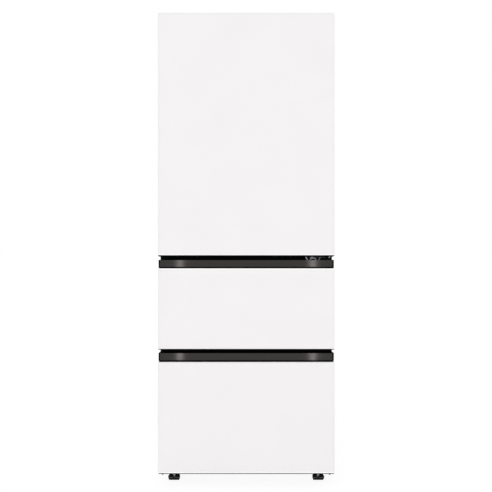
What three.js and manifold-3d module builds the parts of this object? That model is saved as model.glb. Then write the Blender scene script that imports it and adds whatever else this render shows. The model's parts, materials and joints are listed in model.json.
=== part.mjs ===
// Kimchi refrigerator, stand type: one hinged door above two pull-out drawers.
// Millimetres, +Z up, the doors face -Y. The origin is on the floor under the middle of the body.

import * as THREE from 'three';
import { mergeVertices } from 'three/addons/utils/BufferGeometryUtils.js';
import Module from 'manifold-3d';

const wasm = await Module();
wasm.setup();

// ---------------------------------------------------------------- driving sizes

// Whole object
const WIDTH = 666;
const HEIGHT = 1787; // floor to the top edge of the upper door
const DEPTH = 737; // front of the doors to the back sheet
const DOOR_ZONE = 70; // front of the doors to the front of the cabinet
const CABINET_TOP_DROP = 22; // top of the door to the top of the cabinet
const BASE_HEIGHT = 42; // floor to the underside of the base plate

// Front panels, from the bottom up
const LOWER_PANEL_BOTTOM = 51.5;
const LOWER_PANEL_HEIGHT = 419.5;
const MIDDLE_PANEL_HEIGHT = 303.5;
const HANDLE_ZONE = 49; // open height between one panel and the next
const PANEL_THICKNESS = 6;
const PANEL_CORNER_RADIUS = 3;
const BODY_DROP = 2; // how far a door body reaches below its panel
const BODY_INSET = 2; // how far a door body stays inside its panel at the sides

// Clearances
const SEAT = 0.3; // between pieces that touch
const RUN = 1; // between pieces that move past each other

// Cabinet walls
const SIDE_WALL = 55;
const TOP_WALL = 55;
const BACK_WALL = 66;
const CASE_SHEET = 1.2;
const BACK_SHEET = 1;
const BASE_SHEET = 1.5;
const FRONT_FRAME = 2; // front bars and liner flanges
const LINER_WALL = 2;
const LINER_LIP = 10; // liner flange above and below its opening

// Seals between the fronts and the cabinet
const GASKET_WIDTH = 18;
const GASKET_THICKNESS = 7.5;
const GASKET_MARGIN = 4; // edge of the opening to the gasket
const GASKET_EDGE = 4; // gasket to the upper or lower edge of its front

// Hinges of the upper door, on the right
const HINGE_INSET = 15; // side of the door to the axis
const HINGE_SETBACK = 45; // front of the door to the axis
const HINGE_ARM_WIDTH = 22;
const HINGE_PLATE = 4;
const HINGE_SHOULDER = 3.5; // collar that the door rests on
const SHOULDER_DIAMETER = 16;
const PIN_DIAMETER = 9;
const PIN_REACH = 15; // length of pin inside the door
const TOP_PLATE_LENGTH = 96;
const TOP_PLATE_DEPTH = 78;
const HINGE_COVER_WALL = 2;
const HINGE_COVER_MARGIN = 5; // around the hinge plate
const MIDDLE_PLATE_LENGTH = 98;
const MIDDLE_PLATE_OVERHANG = 8; // plate beyond the axis, towards the side
const MIDDLE_PLATE_DROP = 10; // plate below the arm

// Inside of the upper door
const DIKE_GAP = 10; // ridge of the door liner to the walls of the room
const DIKE_WIDTH = 24;
const DIKE_DEPTH = 50;
const DOOR_BIN_COUNT = 3;
const DOOR_BIN_FIRST = 25; // ridge to the underside of the lowest bin
const DOOR_BIN_HEIGHT = 88;
const DOOR_BIN_DEPTH = 104;
const DOOR_BIN_WALL = 2.5;
const DOOR_BIN_RADIUS = 16;
const LUG_HEIGHT = 12;
const LUG_WIDTH = 14;
const LUG_DEPTH = 36;

// Handles on top of the drawers
const STRIP_SETBACK = 20; // face of the strip behind the panel
const STRIP_RISE = 30; // top of the strip above the panel
const STRIP_SHADOW = 4; // dark groove under the strip
const STRIP_SHEET = 3;
const FLANGE_DEPTH = 19; // depth of the strip's top in the middle
const FLANGE_END = 33; // side of the strip to where its top starts to widen
const FLANGE_TAPER = 50; // length of the widening curve
const GROOVE_DEPTH = 1.5; // groove under the strip, from its face back
const HOUSING_WALL = 5;
const HOUSING_END = 6;

// Drawer slides and bins
const RAIL_THICKNESS = 10;
const RAIL_HEIGHT = 30;
const RAIL_START = 8; // front of the cabinet to the rail
const FRAME_THICKNESS = 9;
const FRAME_HEIGHT = 38;
const FRAME_FLANGE = 3;
const FRAME_LIP = 6; // flange over the cabinet rail
const FRAME_LEVEL = 54; // floor of the room to the top of the slide frame
const FRAME_BACK_GAP = 12;
const FRAME_TAB = 26;
const CROSS_BAR = 10;
const BIN_WALL = 2.5;
const BIN_FLOOR_GAP = 8;
const BIN_SIDE_GAP = 8;
const BIN_TOP_GAP = 20;
const BIN_FRONT_GAP = 4;
const BIN_RIM = 3;

// Kimchi containers in the lower drawer
const CONTAINER_WALL = 3;
const CONTAINER_RADIUS = 22;
const CONTAINER_GAP = 7; // to the walls of the bin
const LID_TOP_GAP = 24; // lid to the ceiling of the room
const LID_SKIRT = 16;
const LID_PLATE = 4;
const LID_OVERHANG = 4;

// Shelves and fittings of the upper room
const SHELF_COUNT = 3;
const SHELF_THICKNESS = 5;
const SHELF_TRIM_HEIGHT = 14;
const SHELF_TRIM_DEPTH = 9;
const SHELF_SIDE_GAP = 3;
const SHELF_FRONT_GAP = 20; // door bins to the shelves
const LEDGE_WIDTH = 12;
const LEDGE_HEIGHT = 8;
const DUCT_WIDTH = 400;
const DUCT_DEPTH = 45;
const DUCT_WALL = 2.5;
const DUCT_END_GAP = 20;
const DUCT_SLOT_WIDTH = 120;
const DUCT_SLOT_HEIGHT = 10;
const DUCT_SLOT_OFFSET = 100; // middle of the duct to the middle of a slot
const DUCT_SLOT_DROP = 50; // slot below the shelf above it
const EVAPORATOR_WIDTH = 300;
const EVAPORATOR_DEPTH = 30;
const EVAPORATOR_HEIGHT = 240;
const EVAPORATOR_RISE = 60; // floor of the room to the evaporator
const LAMP_WIDTH = 220;
const LAMP_DEPTH = 40;
const LAMP_HEIGHT = 8;
const LAMP_SETBACK = 200; // front of the cabinet to the lamp
const CONTROL_WIDTH = 190;
const CONTROL_DEPTH = 56;
const CONTROL_HEIGHT = 11;
const CONTROL_SETBACK = 64; // front of the cabinet to the control panel

// Machine room at the bottom of the back
const MACHINE_ROOM_DEPTH = 205;
const MACHINE_ROOM_HEIGHT = 258;
const MACHINE_ROOM_WALL = 50;
const MACHINE_COVER_SHEET = 1.2;
const LOUVRE_COUNT = 8;
const LOUVRE_WIDTH = 190;
const LOUVRE_HEIGHT = 6;
const LOUVRE_SPACING = 18;
const LOUVRE_OFFSET = 115; // middle of the cover to the middle of a louvre group
const COMPRESSOR_DIAMETER = 150;
const COMPRESSOR_HEIGHT = 176;
const COMPRESSOR_X = 75;
const COMPRESSOR_FOOT = 10; // height of its rubber feet
const COMPRESSOR_SKID = 4; // thickness of the plate that its feet carry
const TRAY_WIDTH = 190;
const TRAY_DEPTH = 160;
const TRAY_HEIGHT = 28;
const TRAY_WALL = 2;
const CONDENSER_WIDTH = 86;
const CONDENSER_HEIGHT = 180;
const CONDENSER_SIDE_GAP = 12;
const CONDENSER_END_GAP = 14;
const FIN_COUNT = 10;
const FIN_THICKNESS = 1.5;
const TUBE_DIAMETER = 8;
const SHROUD_X = -165;
const SHROUD_SHEET = 3;
const SHROUD_EDGE_GAP = 4;
const FAN_RADIUS = 70;
const FAN_TIP_GAP = 5;
const FAN_HUB_RADIUS = 20;
const FAN_HUB_LENGTH = 22;
const FAN_OFFSET = 15; // shroud to the middle of the fan
const FAN_BLADES = 5;
const BLADE_CHORD = 38;
const BLADE_THICKNESS = 2;
const BLADE_PITCH = 28; // degrees out of the plane of the fan
const MOTOR_RADIUS = 24;
const MOTOR_LENGTH = 42;
const MOTOR_SHAFT_RADIUS = 3;
const SPOKE_WIDTH = 10;
const INLET_INSET = 71; // side of the object to the axis of the inlet
const INLET_DROP = 60; // top of the machine room to the inlet
const INLET_DIAMETER = 25;
const INLET_FLANGE = 5;
const INLET_LENGTH = 14;
const INLET_BORE = 9;
const BOARD_BOX_WIDTH = 200;
const BOARD_BOX_HEIGHT = 130;
const BOARD_BOX_DEPTH = 34;
const BOARD_BOX_DROP = 90; // top of the cabinet to the box

// Front feet and rear rollers
const FOOT_INSET = 53; // side of the object to the axis of the foot
const FOOT_SETBACK = 94.5; // front of the doors to the axis of the foot
const FOOT_WIDEST = 46; // across its flats
const FOOT_CORNERS = 58; // across its rounded corners
const FOOT_SOLE = 40;
const FOOT_TOP = 38;
const FOOT_HEIGHT = 21;
const FOOT_SOLE_RISE = 8; // floor to the widest part
const FOOT_SHOULDER = 6; // chamfer under the top
const STUD_DIAMETER = 10;
const STUD_REACH = 14; // stud above the base plate
const STUD_BOSS = 8; // height of the threaded boss
const STUD_BOSS_WALL = 6;
const ROLLER_TOP_GAP = 2; // roller to the base plate
const ROLLER_WIDTH = 18;
const ROLLER_INSET = 60;
const ROLLER_SETBACK = 60;
const AXLE_DIAMETER = 8;
const CHEEK_SHEET = 2.5;
const CHEEK_LENGTH = 28;
const CHEEK_BELOW_AXLE = 7;

// ---------------------------------------------------------------- derived places

const halfWidth = WIDTH / 2;
const frontY = -DEPTH / 2;
const backY = DEPTH / 2;
const cabinetY = frontY + DOOR_ZONE;
const cabinetTopZ = HEIGHT - CABINET_TOP_DROP;
const caseInnerX = halfWidth - CASE_SHEET - SEAT;
const underCaseZ = cabinetTopZ - CASE_SHEET - SEAT;
const baseTopZ = BASE_HEIGHT + BASE_SHEET;
const onBaseZ = baseTopZ + SEAT;
const machineTopZ = BASE_HEIGHT + MACHINE_ROOM_HEIGHT;
const machineFrontY = backY - MACHINE_ROOM_DEPTH;
const machineMiddleY = (machineFrontY + backY) / 2;

const gasketRearY = cabinetY - SEAT;
const gasketFrontY = gasketRearY - GASKET_THICKNESS;
const frontsRearY = gasketFrontY - SEAT;
const bodyFrontY = frontY + PANEL_THICKNESS + SEAT;
const bodyHalfWidth = halfWidth - BODY_INSET;
const sealBand = GASKET_EDGE + GASKET_WIDTH + GASKET_MARGIN;

const lowerPanel = { bottom: LOWER_PANEL_BOTTOM, top: LOWER_PANEL_BOTTOM + LOWER_PANEL_HEIGHT };
const middlePanel = { bottom: lowerPanel.top + HANDLE_ZONE };
middlePanel.top = middlePanel.bottom + MIDDLE_PANEL_HEIGHT;
const upperPanel = { bottom: middlePanel.top + HANDLE_ZONE, top: HEIGHT };

const roomHalf = halfWidth - SIDE_WALL;
const roomBackY = backY - BACK_WALL;
const lowerRoom = {
  bottom: lowerPanel.bottom + sealBand,
  top: lowerPanel.top - sealBand,
  backY: machineFrontY - MACHINE_ROOM_WALL,
};
const middleRoom = {
  bottom: middlePanel.bottom + sealBand,
  top: middlePanel.top - sealBand,
  backY: roomBackY,
};
const upperRoom = {
  bottom: upperPanel.bottom + sealBand,
  top: cabinetTopZ - TOP_WALL,
  backY: roomBackY,
};

const hingeX = halfWidth - HINGE_INSET;
const hingeY = frontY + HINGE_SETBACK;
const pinRadius = PIN_DIAMETER / 2;
const pinHoleRadius = pinRadius + SEAT;
const doorBodyBottomZ = upperPanel.bottom - BODY_DROP;
const doorBodyTopZ = upperPanel.top - BODY_INSET;
const topArmZ = cabinetTopZ + SEAT;
const doorBodyRearY = frontsRearY - LINER_WALL - SEAT;
const binRearY = frontsRearY + SEAT + DOOR_BIN_DEPTH;

const shelfFrontY = binRearY + SHELF_FRONT_GAP;
const ductFrontY = roomBackY - DUCT_DEPTH;
const rollerDiameter = BASE_HEIGHT - ROLLER_TOP_GAP;

// ---------------------------------------------------------------- shape helpers

const ROUND_STEPS = 24;
const SMALL_ROUND_STEPS = 12;
const CORNER_STEPS = 4;
const OVERLAP = 0.5; // how far pieces of one solid reach into each other before they are joined
const CUT_PAST = 5; // how far a cut runs past the face that it opens

// A closed three.js geometry as a solid that can be joined and cut.
function solid(geometry) {
  const bare = geometry.clone();
  bare.deleteAttribute('normal');
  bare.deleteAttribute('uv');
  const merged = mergeVertices(bare, 1e-4);
  const corners = merged.index.array;
  const kept = [];
  for (let i = 0; i < corners.length; i += 3) {
    const [a, b, c] = [corners[i], corners[i + 1], corners[i + 2]];
    if (a !== b && b !== c && c !== a) kept.push(a, b, c);
  }
  return new wasm.Manifold(new wasm.Mesh({
    numProp: 3,
    vertProperties: new Float32Array(merged.attributes.position.array),
    triVerts: new Uint32Array(kept),
  }));
}

function geometryOf(manifold) {
  const mesh = manifold.getMesh();
  const geometry = new THREE.BufferGeometry();
  geometry.setAttribute('position', new THREE.BufferAttribute(mesh.vertProperties, 3));
  geometry.setIndex(new THREE.BufferAttribute(mesh.triVerts, 1));
  geometry.computeVertexNormals();
  return geometry;
}

function union(pieces) {
  return pieces.reduce((sum, piece) => sum.add(piece));
}

function cut(body, tools) {
  return tools.reduce((rest, tool) => rest.subtract(tool), body);
}

function box(x0, x1, y0, y1, z0, z1) {
  const geometry = new THREE.BoxGeometry(x1 - x0, y1 - y0, z1 - z0);
  geometry.translate((x0 + x1) / 2, (y0 + y1) / 2, (z0 + z1) / 2);
  return solid(geometry);
}

function polygon(points) {
  return new THREE.Shape(points.map(([a, b]) => new THREE.Vector2(a, b)));
}

function roundedRectangle(a0, a1, b0, b1, radius) {
  const shape = new THREE.Shape();
  shape.moveTo(a0 + radius, b0);
  shape.lineTo(a1 - radius, b0);
  shape.absarc(a1 - radius, b0 + radius, radius, -Math.PI / 2, 0);
  shape.absarc(a1 - radius, b1 - radius, radius, 0, Math.PI / 2);
  shape.absarc(a0 + radius, b1 - radius, radius, Math.PI / 2, Math.PI);
  shape.absarc(a0 + radius, b0 + radius, radius, Math.PI, 1.5 * Math.PI);
  return shape;
}

function extruded(shape, depth) {
  return new THREE.ExtrudeGeometry(shape, { depth, bevelEnabled: false, curveSegments: CORNER_STEPS });
}

// The shape lies in X and Z and runs from y0 to y1.
function prismAlongY(shape, y0, y1) {
  const geometry = extruded(shape, y1 - y0);
  geometry.rotateX(Math.PI / 2);
  geometry.translate(0, y1, 0);
  return solid(geometry);
}

// The shape lies in X and Y and runs from z0 to z1.
function prismAlongZ(shape, z0, z1) {
  const geometry = extruded(shape, z1 - z0);
  geometry.translate(0, 0, z0);
  return solid(geometry);
}

function cylinderAlongX(radius, x0, x1, y, z, steps = SMALL_ROUND_STEPS) {
  const geometry = new THREE.CylinderGeometry(radius, radius, x1 - x0, steps);
  geometry.rotateZ(Math.PI / 2);
  geometry.translate((x0 + x1) / 2, y, z);
  return solid(geometry);
}

function cylinderAlongY(radius, y0, y1, x, z, steps = SMALL_ROUND_STEPS) {
  const geometry = new THREE.CylinderGeometry(radius, radius, y1 - y0, steps);
  geometry.translate(x, (y0 + y1) / 2, z);
  return solid(geometry);
}

function cylinderAlongZ(radius, z0, z1, x, y, steps = SMALL_ROUND_STEPS) {
  const geometry = new THREE.CylinderGeometry(radius, radius, z1 - z0, steps);
  geometry.rotateX(Math.PI / 2);
  geometry.translate(x, y, (z0 + z1) / 2);
  return solid(geometry);
}

// A turned piece about Z from [radius, z] points.
function turned(profile, steps = ROUND_STEPS) {
  const points = profile.map(([radius, z]) => new THREE.Vector2(radius, z));
  const geometry = new THREE.LatheGeometry(points, steps);
  geometry.rotateX(Math.PI / 2);
  return geometry;
}

// A flat ring between an outer and an inner rectangle, both in X and Z.
function ringAlongY(halfOuter, bottom, top, width, y0, y1) {
  const outer = box(-halfOuter, halfOuter, y0, y1, bottom, top);
  const halfHole = halfOuter - width;
  const hole = box(-halfHole, halfHole, y0 - CUT_PAST, y1 + CUT_PAST, bottom + width, top - width);
  return outer.subtract(hole);
}

// ---------------------------------------------------------------- finishes

const PANEL_WHITE = [0xf4f2f3, 0.5, 0.0];
const BODY_DARK = [0x161617, 0.55, 0.1];
const STRIP_GREY = [0x3c3a39, 0.35, 0.8];
const TRIM_BLACK = [0x101011, 0.5, 0.0];
const CASE_WHITE = [0xe9e8e8, 0.45, 0.1];
const LINER_WHITE = [0xeeeeec, 0.4, 0.0];
const FOAM_CREAM = [0xe6d9a8, 0.9, 0.0];
const ZINC = [0xb9bcc0, 0.4, 0.9];
const STEEL_GREY = [0x8d9093, 0.45, 0.8];
const CLEAR = [0xdfe9ee, 0.15, 0.0];
const RUBBER_GREY = [0xa9abad, 0.8, 0.0];
const RUBBER_BLACK = [0x1b1b1c, 0.8, 0.0];
const FIN_ALUMINIUM = [0xc6c8ca, 0.4, 0.9];
const MACHINE_BLACK = [0x161617, 0.4, 0.3];
const CONTAINER_GREY = [0xc9cbc8, 0.45, 0.0];
const LID_WHITE = [0xf0efec, 0.4, 0.0];

function piece(parent, name, geometry, [color, roughness, metalness]) {
  const mesh = new THREE.Mesh(geometry, new THREE.MeshStandardMaterial({ color, roughness, metalness }));
  mesh.name = name;
  parent.add(mesh);
  return mesh;
}

function part(parent, name, manifold, finish) {
  return piece(parent, name, geometryOf(manifold), finish);
}

// ---------------------------------------------------------------- cabinet

function outerCase() {
  const outer = box(-halfWidth, halfWidth, cabinetY, backY, BASE_HEIGHT, cabinetTopZ);
  const innerX = halfWidth - CASE_SHEET;
  const inner = box(-innerX, innerX, cabinetY - CUT_PAST, backY + CUT_PAST,
    BASE_HEIGHT - CUT_PAST, cabinetTopZ - CASE_SHEET);
  return outer.subtract(inner);
}

const boardBox = {
  halfWidth: BOARD_BOX_WIDTH / 2,
  top: cabinetTopZ - BOARD_BOX_DROP,
  frontY: backY - BOARD_BOX_DEPTH,
};
boardBox.bottom = boardBox.top - BOARD_BOX_HEIGHT;

function boardPocket() {
  const half = boardBox.halfWidth + SEAT;
  return box(-half, half, boardBox.frontY - SEAT, backY + CUT_PAST,
    boardBox.bottom - SEAT, boardBox.top + SEAT);
}

function controlBoardBox() {
  const half = boardBox.halfWidth;
  return box(-half, half, boardBox.frontY, backY, boardBox.bottom, boardBox.top);
}

function backPanel() {
  const sheet = box(-caseInnerX, caseInnerX, backY - BACK_SHEET, backY, machineTopZ, underCaseZ);
  return sheet.subtract(boardPocket());
}

function roomSpace(room, grow, frontPlane) {
  const half = roomHalf + grow;
  return box(-half, half, frontPlane, room.backY + grow, room.bottom - grow, room.top + grow);
}

const studTopZ = onBaseZ + STUD_REACH;
const footX = halfWidth - FOOT_INSET;
const footY = frontY + FOOT_SETBACK;

function cabinetFoam() {
  const foamFrontY = cabinetY + FRONT_FRAME + SEAT;
  const block = box(-caseInnerX, caseInnerX, foamFrontY, backY - BACK_SHEET - SEAT, onBaseZ, underCaseZ);
  const machineRoom = box(-halfWidth, halfWidth, machineFrontY, backY + CUT_PAST,
    BASE_HEIGHT - CUT_PAST, machineTopZ);
  const rooms = [lowerRoom, middleRoom, upperRoom]
    .map((room) => roomSpace(room, LINER_WALL + SEAT, foamFrontY - CUT_PAST));
  const studHoles = [-footX, footX]
    .map((x) => cylinderAlongZ(STUD_DIAMETER / 2 + RUN, onBaseZ - CUT_PAST, studTopZ + RUN, x, footY));
  return cut(block, [machineRoom, boardPocket(), ...rooms, ...studHoles]);
}

// The shelves share the height of the room evenly.
const shelfSpacing = (upperRoom.top - upperRoom.bottom) / (SHELF_COUNT + 1);

function shelfZ(index) {
  return upperRoom.bottom + shelfSpacing * (index + 1);
}

function liner(room, flangeBottom, flangeTop) {
  const tub = roomSpace(room, LINER_WALL, cabinetY);
  const flange = box(-caseInnerX, caseInnerX, cabinetY, cabinetY + FRONT_FRAME, flangeBottom, flangeTop);
  return tub.add(flange).subtract(roomSpace(room, 0, cabinetY - CUT_PAST));
}

function shelfLedges() {
  const ledges = [];
  for (let index = 0; index < SHELF_COUNT; index += 1) {
    const top = shelfZ(index) - SEAT;
    const reach = roomHalf - LEDGE_WIDTH;
    const wall = roomHalf + OVERLAP;
    ledges.push(box(-wall, -reach, shelfFrontY, roomBackY + OVERLAP, top - LEDGE_HEIGHT, top));
    ledges.push(box(reach, wall, shelfFrontY, roomBackY + OVERLAP, top - LEDGE_HEIGHT, top));
  }
  return ledges;
}

function mullion(below, above) {
  return box(-caseInnerX, caseInnerX, cabinetY, cabinetY + FRONT_FRAME,
    below.top + LINER_LIP, above.bottom - LINER_LIP);
}

const rollerX = halfWidth - ROLLER_INSET;
const rollerY = backY - ROLLER_SETBACK;
const rollerZ = rollerDiameter / 2;

// Two cheeks under the base plate with the roller's axle between them.
function rollerBracket(x) {
  const inner = ROLLER_WIDTH / 2 + RUN;
  const outer = inner + CHEEK_SHEET;
  const y0 = rollerY - CHEEK_LENGTH / 2;
  const y1 = rollerY + CHEEK_LENGTH / 2;
  const z0 = rollerZ - CHEEK_BELOW_AXLE;
  const z1 = BASE_HEIGHT + OVERLAP;
  return [
    box(x - outer, x - inner, y0, y1, z0, z1),
    box(x + inner, x + outer, y0, y1, z0, z1),
    cylinderAlongX(AXLE_DIAMETER / 2, x - inner - OVERLAP, x + inner + OVERLAP, rollerY, rollerZ),
  ];
}

function basePlate() {
  const plate = box(-caseInnerX, caseInnerX, cabinetY, backY, BASE_HEIGHT, baseTopZ);
  const bossRadius = STUD_DIAMETER / 2 + STUD_BOSS_WALL;
  const bosses = [-footX, footX]
    .map((x) => cylinderAlongZ(bossRadius, BASE_HEIGHT - STUD_BOSS, BASE_HEIGHT + OVERLAP, x, footY));
  const holes = [-footX, footX]
    .map((x) => cylinderAlongZ(STUD_DIAMETER / 2 + SEAT, BASE_HEIGHT - STUD_BOSS - CUT_PAST,
      baseTopZ + CUT_PAST, x, footY));
  return cut(union([plate, ...bosses, ...rollerBracket(-rollerX), ...rollerBracket(rollerX)]), holes);
}

function cabinetShell(cabinet) {
  part(cabinet, 'outer_case', outerCase(), CASE_WHITE);
  part(cabinet, 'back_panel', backPanel(), STEEL_GREY);
  part(cabinet, 'cabinet_foam', cabinetFoam(), FOAM_CREAM);
  const lip = LINER_LIP - SEAT;
  const upperLiner = union([liner(upperRoom, upperRoom.bottom - lip, underCaseZ), ...shelfLedges()]);
  const middleLiner = liner(middleRoom, middleRoom.bottom - lip, middleRoom.top + lip);
  part(cabinet, 'upper_liner', upperLiner, LINER_WHITE);
  part(cabinet, 'middle_liner', middleLiner, LINER_WHITE);
  part(cabinet, 'lower_liner', liner(lowerRoom, onBaseZ, lowerRoom.top + lip), LINER_WHITE);
  part(cabinet, 'upper_mullion', mullion(middleRoom, upperRoom), TRIM_BLACK);
  part(cabinet, 'lower_mullion', mullion(lowerRoom, middleRoom), TRIM_BLACK);
  part(cabinet, 'base_plate', basePlate(), ZINC);
  part(cabinet, 'control_board_box', controlBoardBox(), STEEL_GREY);
}

// ---------------------------------------------------------------- hinges

const topPlate = {
  x1: halfWidth - HINGE_COVER_MARGIN - HINGE_COVER_WALL - CASE_SHEET,
  y0: cabinetY + HINGE_COVER_MARGIN + HINGE_COVER_WALL,
};
topPlate.x0 = topPlate.x1 - TOP_PLATE_LENGTH;
topPlate.y1 = topPlate.y0 + TOP_PLATE_DEPTH;

// A flat arm from the pin back to the cabinet, round at the pin.
function hingeArm(z0, z1, rearY) {
  const half = HINGE_ARM_WIDTH / 2;
  return union([
    box(hingeX - half, hingeX + half, hingeY, rearY, z0, z1),
    cylinderAlongZ(half, z0, z1, hingeX, hingeY, ROUND_STEPS),
  ]);
}

function topHinge() {
  const z1 = topArmZ + HINGE_PLATE;
  return union([
    box(topPlate.x0, topPlate.x1, topPlate.y0, topPlate.y1, topArmZ, z1),
    hingeArm(topArmZ, z1, topPlate.y0 + OVERLAP),
    cylinderAlongZ(pinRadius, topArmZ - RUN - PIN_REACH, z1, hingeX, hingeY),
  ]);
}

function topHingeCover() {
  const inner = HINGE_COVER_MARGIN;
  const outer = HINGE_COVER_MARGIN + HINGE_COVER_WALL;
  const roofZ = HEIGHT - RUN;
  const shell = box(topPlate.x0 - outer, topPlate.x1 + outer, topPlate.y0 - outer, topPlate.y1 + outer,
    topArmZ, roofZ);
  const hollow = box(topPlate.x0 - inner, topPlate.x1 + inner, topPlate.y0 - inner, topPlate.y1 + inner,
    topArmZ - CUT_PAST, roofZ - HINGE_COVER_WALL);
  const half = HINGE_ARM_WIDTH / 2 + RUN;
  const armWay = box(hingeX - half, hingeX + half, topPlate.y0 - outer - CUT_PAST, topPlate.y0 + RUN,
    topArmZ - CUT_PAST, topArmZ + HINGE_PLATE + RUN);
  return cut(shell, [hollow, armWay]);
}

function middleHinge() {
  const armTop = doorBodyBottomZ - HINGE_SHOULDER;
  const armBottom = armTop - HINGE_PLATE;
  const rearY = cabinetY - SEAT;
  const x1 = hingeX + MIDDLE_PLATE_OVERHANG;
  const x0 = x1 - MIDDLE_PLATE_LENGTH;
  const rootZ = armBottom + OVERLAP;
  return union([
    box(x0, x1, rearY - HINGE_PLATE, rearY, armBottom - MIDDLE_PLATE_DROP, armTop),
    hingeArm(armBottom, armTop, rearY - OVERLAP),
    cylinderAlongZ(SHOULDER_DIAMETER / 2, rootZ, doorBodyBottomZ - SEAT, hingeX, hingeY, ROUND_STEPS),
    cylinderAlongZ(pinRadius, rootZ, doorBodyBottomZ + PIN_REACH, hingeX, hingeY),
  ]);
}

function hinges(cabinet) {
  part(cabinet, 'top_hinge', topHinge(), ZINC);
  part(cabinet, 'top_hinge_cover', topHingeCover(), TRIM_BLACK);
  part(cabinet, 'middle_hinge', middleHinge(), STEEL_GREY);
}

// ---------------------------------------------------------------- upper room

// Fin plates square to X, joined by round tubes that run through them.
function finnedBlock(length, depth, height) {
  const fins = [];
  for (let index = 0; index < FIN_COUNT; index += 1) {
    const x = (length - FIN_THICKNESS) * (index / (FIN_COUNT - 1) - 0.5);
    fins.push(box(x - FIN_THICKNESS / 2, x + FIN_THICKNESS / 2, -depth / 2, depth / 2, 0, height));
  }
  const reach = (length - FIN_THICKNESS) / 2;
  const tubes = [height / 4, (3 * height) / 4]
    .map((z) => cylinderAlongX(TUBE_DIAMETER / 2, -reach, reach, 0, z, 6));
  return union([...fins, ...tubes]);
}

function ductCover() {
  const half = DUCT_WIDTH / 2;
  const bottom = upperRoom.bottom + DUCT_END_GAP;
  const top = upperRoom.top - DUCT_END_GAP;
  const shell = box(-half, half, ductFrontY, roomBackY - SEAT, bottom, top);
  const hollow = box(-half + DUCT_WALL, half - DUCT_WALL, ductFrontY + DUCT_WALL, roomBackY + CUT_PAST,
    bottom + DUCT_WALL, top - DUCT_WALL);
  const slots = [];
  for (let index = 0; index <= SHELF_COUNT; index += 1) {
    const z = shelfZ(index) - DUCT_SLOT_DROP;
    for (const x of [-DUCT_SLOT_OFFSET, DUCT_SLOT_OFFSET]) {
      slots.push(box(x - DUCT_SLOT_WIDTH / 2, x + DUCT_SLOT_WIDTH / 2, ductFrontY - CUT_PAST,
        ductFrontY + DUCT_WALL + OVERLAP, z - DUCT_SLOT_HEIGHT, z));
    }
  }
  return cut(shell, [hollow, ...slots]);
}

function shelf(index) {
  const half = roomHalf - SHELF_SIDE_GAP;
  const z0 = shelfZ(index);
  const trimRearY = shelfFrontY - SEAT;
  const trimZ = z0 + SHELF_THICKNESS;
  const plate = box(-half, half, trimRearY - OVERLAP, ductFrontY - SHELF_SIDE_GAP, z0, trimZ);
  const trim = box(-half, half, trimRearY - SHELF_TRIM_DEPTH, trimRearY, trimZ - SHELF_TRIM_HEIGHT, trimZ);
  return plate.add(trim);
}

function upperRoomFittings(cabinet) {
  for (let index = 0; index < SHELF_COUNT; index += 1) {
    part(cabinet, `shelf_${index + 1}`, shelf(index), CLEAR);
  }
  part(cabinet, 'duct_cover', ductCover(), LINER_WHITE);
  const evaporator = part(cabinet, 'evaporator',
    finnedBlock(EVAPORATOR_WIDTH, EVAPORATOR_DEPTH, EVAPORATOR_HEIGHT), FIN_ALUMINIUM);
  evaporator.position.set(0, roomBackY - SEAT - EVAPORATOR_DEPTH / 2, upperRoom.bottom + EVAPORATOR_RISE);
  const ceiling = upperRoom.top - SEAT;
  const lampY = cabinetY + LAMP_SETBACK;
  part(cabinet, 'lamp_lens', box(-LAMP_WIDTH / 2, LAMP_WIDTH / 2, lampY, lampY + LAMP_DEPTH,
    ceiling - LAMP_HEIGHT, ceiling), CLEAR);
  const controlY = cabinetY + CONTROL_SETBACK;
  const controlHalf = CONTROL_WIDTH / 2;
  part(cabinet, 'control_panel', box(-controlHalf, controlHalf, controlY, controlY + CONTROL_DEPTH,
    ceiling - CONTROL_HEIGHT, ceiling), TRIM_BLACK);
}

// ---------------------------------------------------------------- machine room

function compressor() {
  const radius = COMPRESSOR_DIAMETER / 2;
  const body = solid(turned([
    [0, COMPRESSOR_FOOT],
    [radius * 0.8, COMPRESSOR_FOOT],
    [radius, COMPRESSOR_HEIGHT * 0.25],
    [radius, COMPRESSOR_HEIGHT * 0.72],
    [radius * 0.86, COMPRESSOR_HEIGHT * 0.9],
    [radius * 0.5, COMPRESSOR_HEIGHT],
    [0, COMPRESSOR_HEIGHT],
  ]));
  const footReach = radius * 0.8;
  const skidDepth = radius * 0.9;
  const skid = box(-radius, radius, -skidDepth, skidDepth, COMPRESSOR_FOOT - OVERLAP,
    COMPRESSOR_FOOT + COMPRESSOR_SKID);
  const feet = [[-1, -1], [-1, 1], [1, -1], [1, 1]]
    .map(([a, b]) => cylinderAlongZ(COMPRESSOR_FOOT, 0, COMPRESSOR_FOOT, a * footReach, b * footReach));
  return union([body, skid, ...feet]);
}

function dripTray() {
  const halfX = TRAY_WIDTH / 2;
  const halfY = TRAY_DEPTH / 2;
  const outer = box(-halfX, halfX, -halfY, halfY, 0, TRAY_HEIGHT);
  const inner = box(-halfX + TRAY_WALL, halfX - TRAY_WALL, -halfY + TRAY_WALL, halfY - TRAY_WALL,
    TRAY_WALL, TRAY_HEIGHT + CUT_PAST);
  return outer.subtract(inner);
}

const fanX = SHROUD_X + FAN_OFFSET;
const fanZ = (onBaseZ + machineTopZ) / 2;

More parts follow.
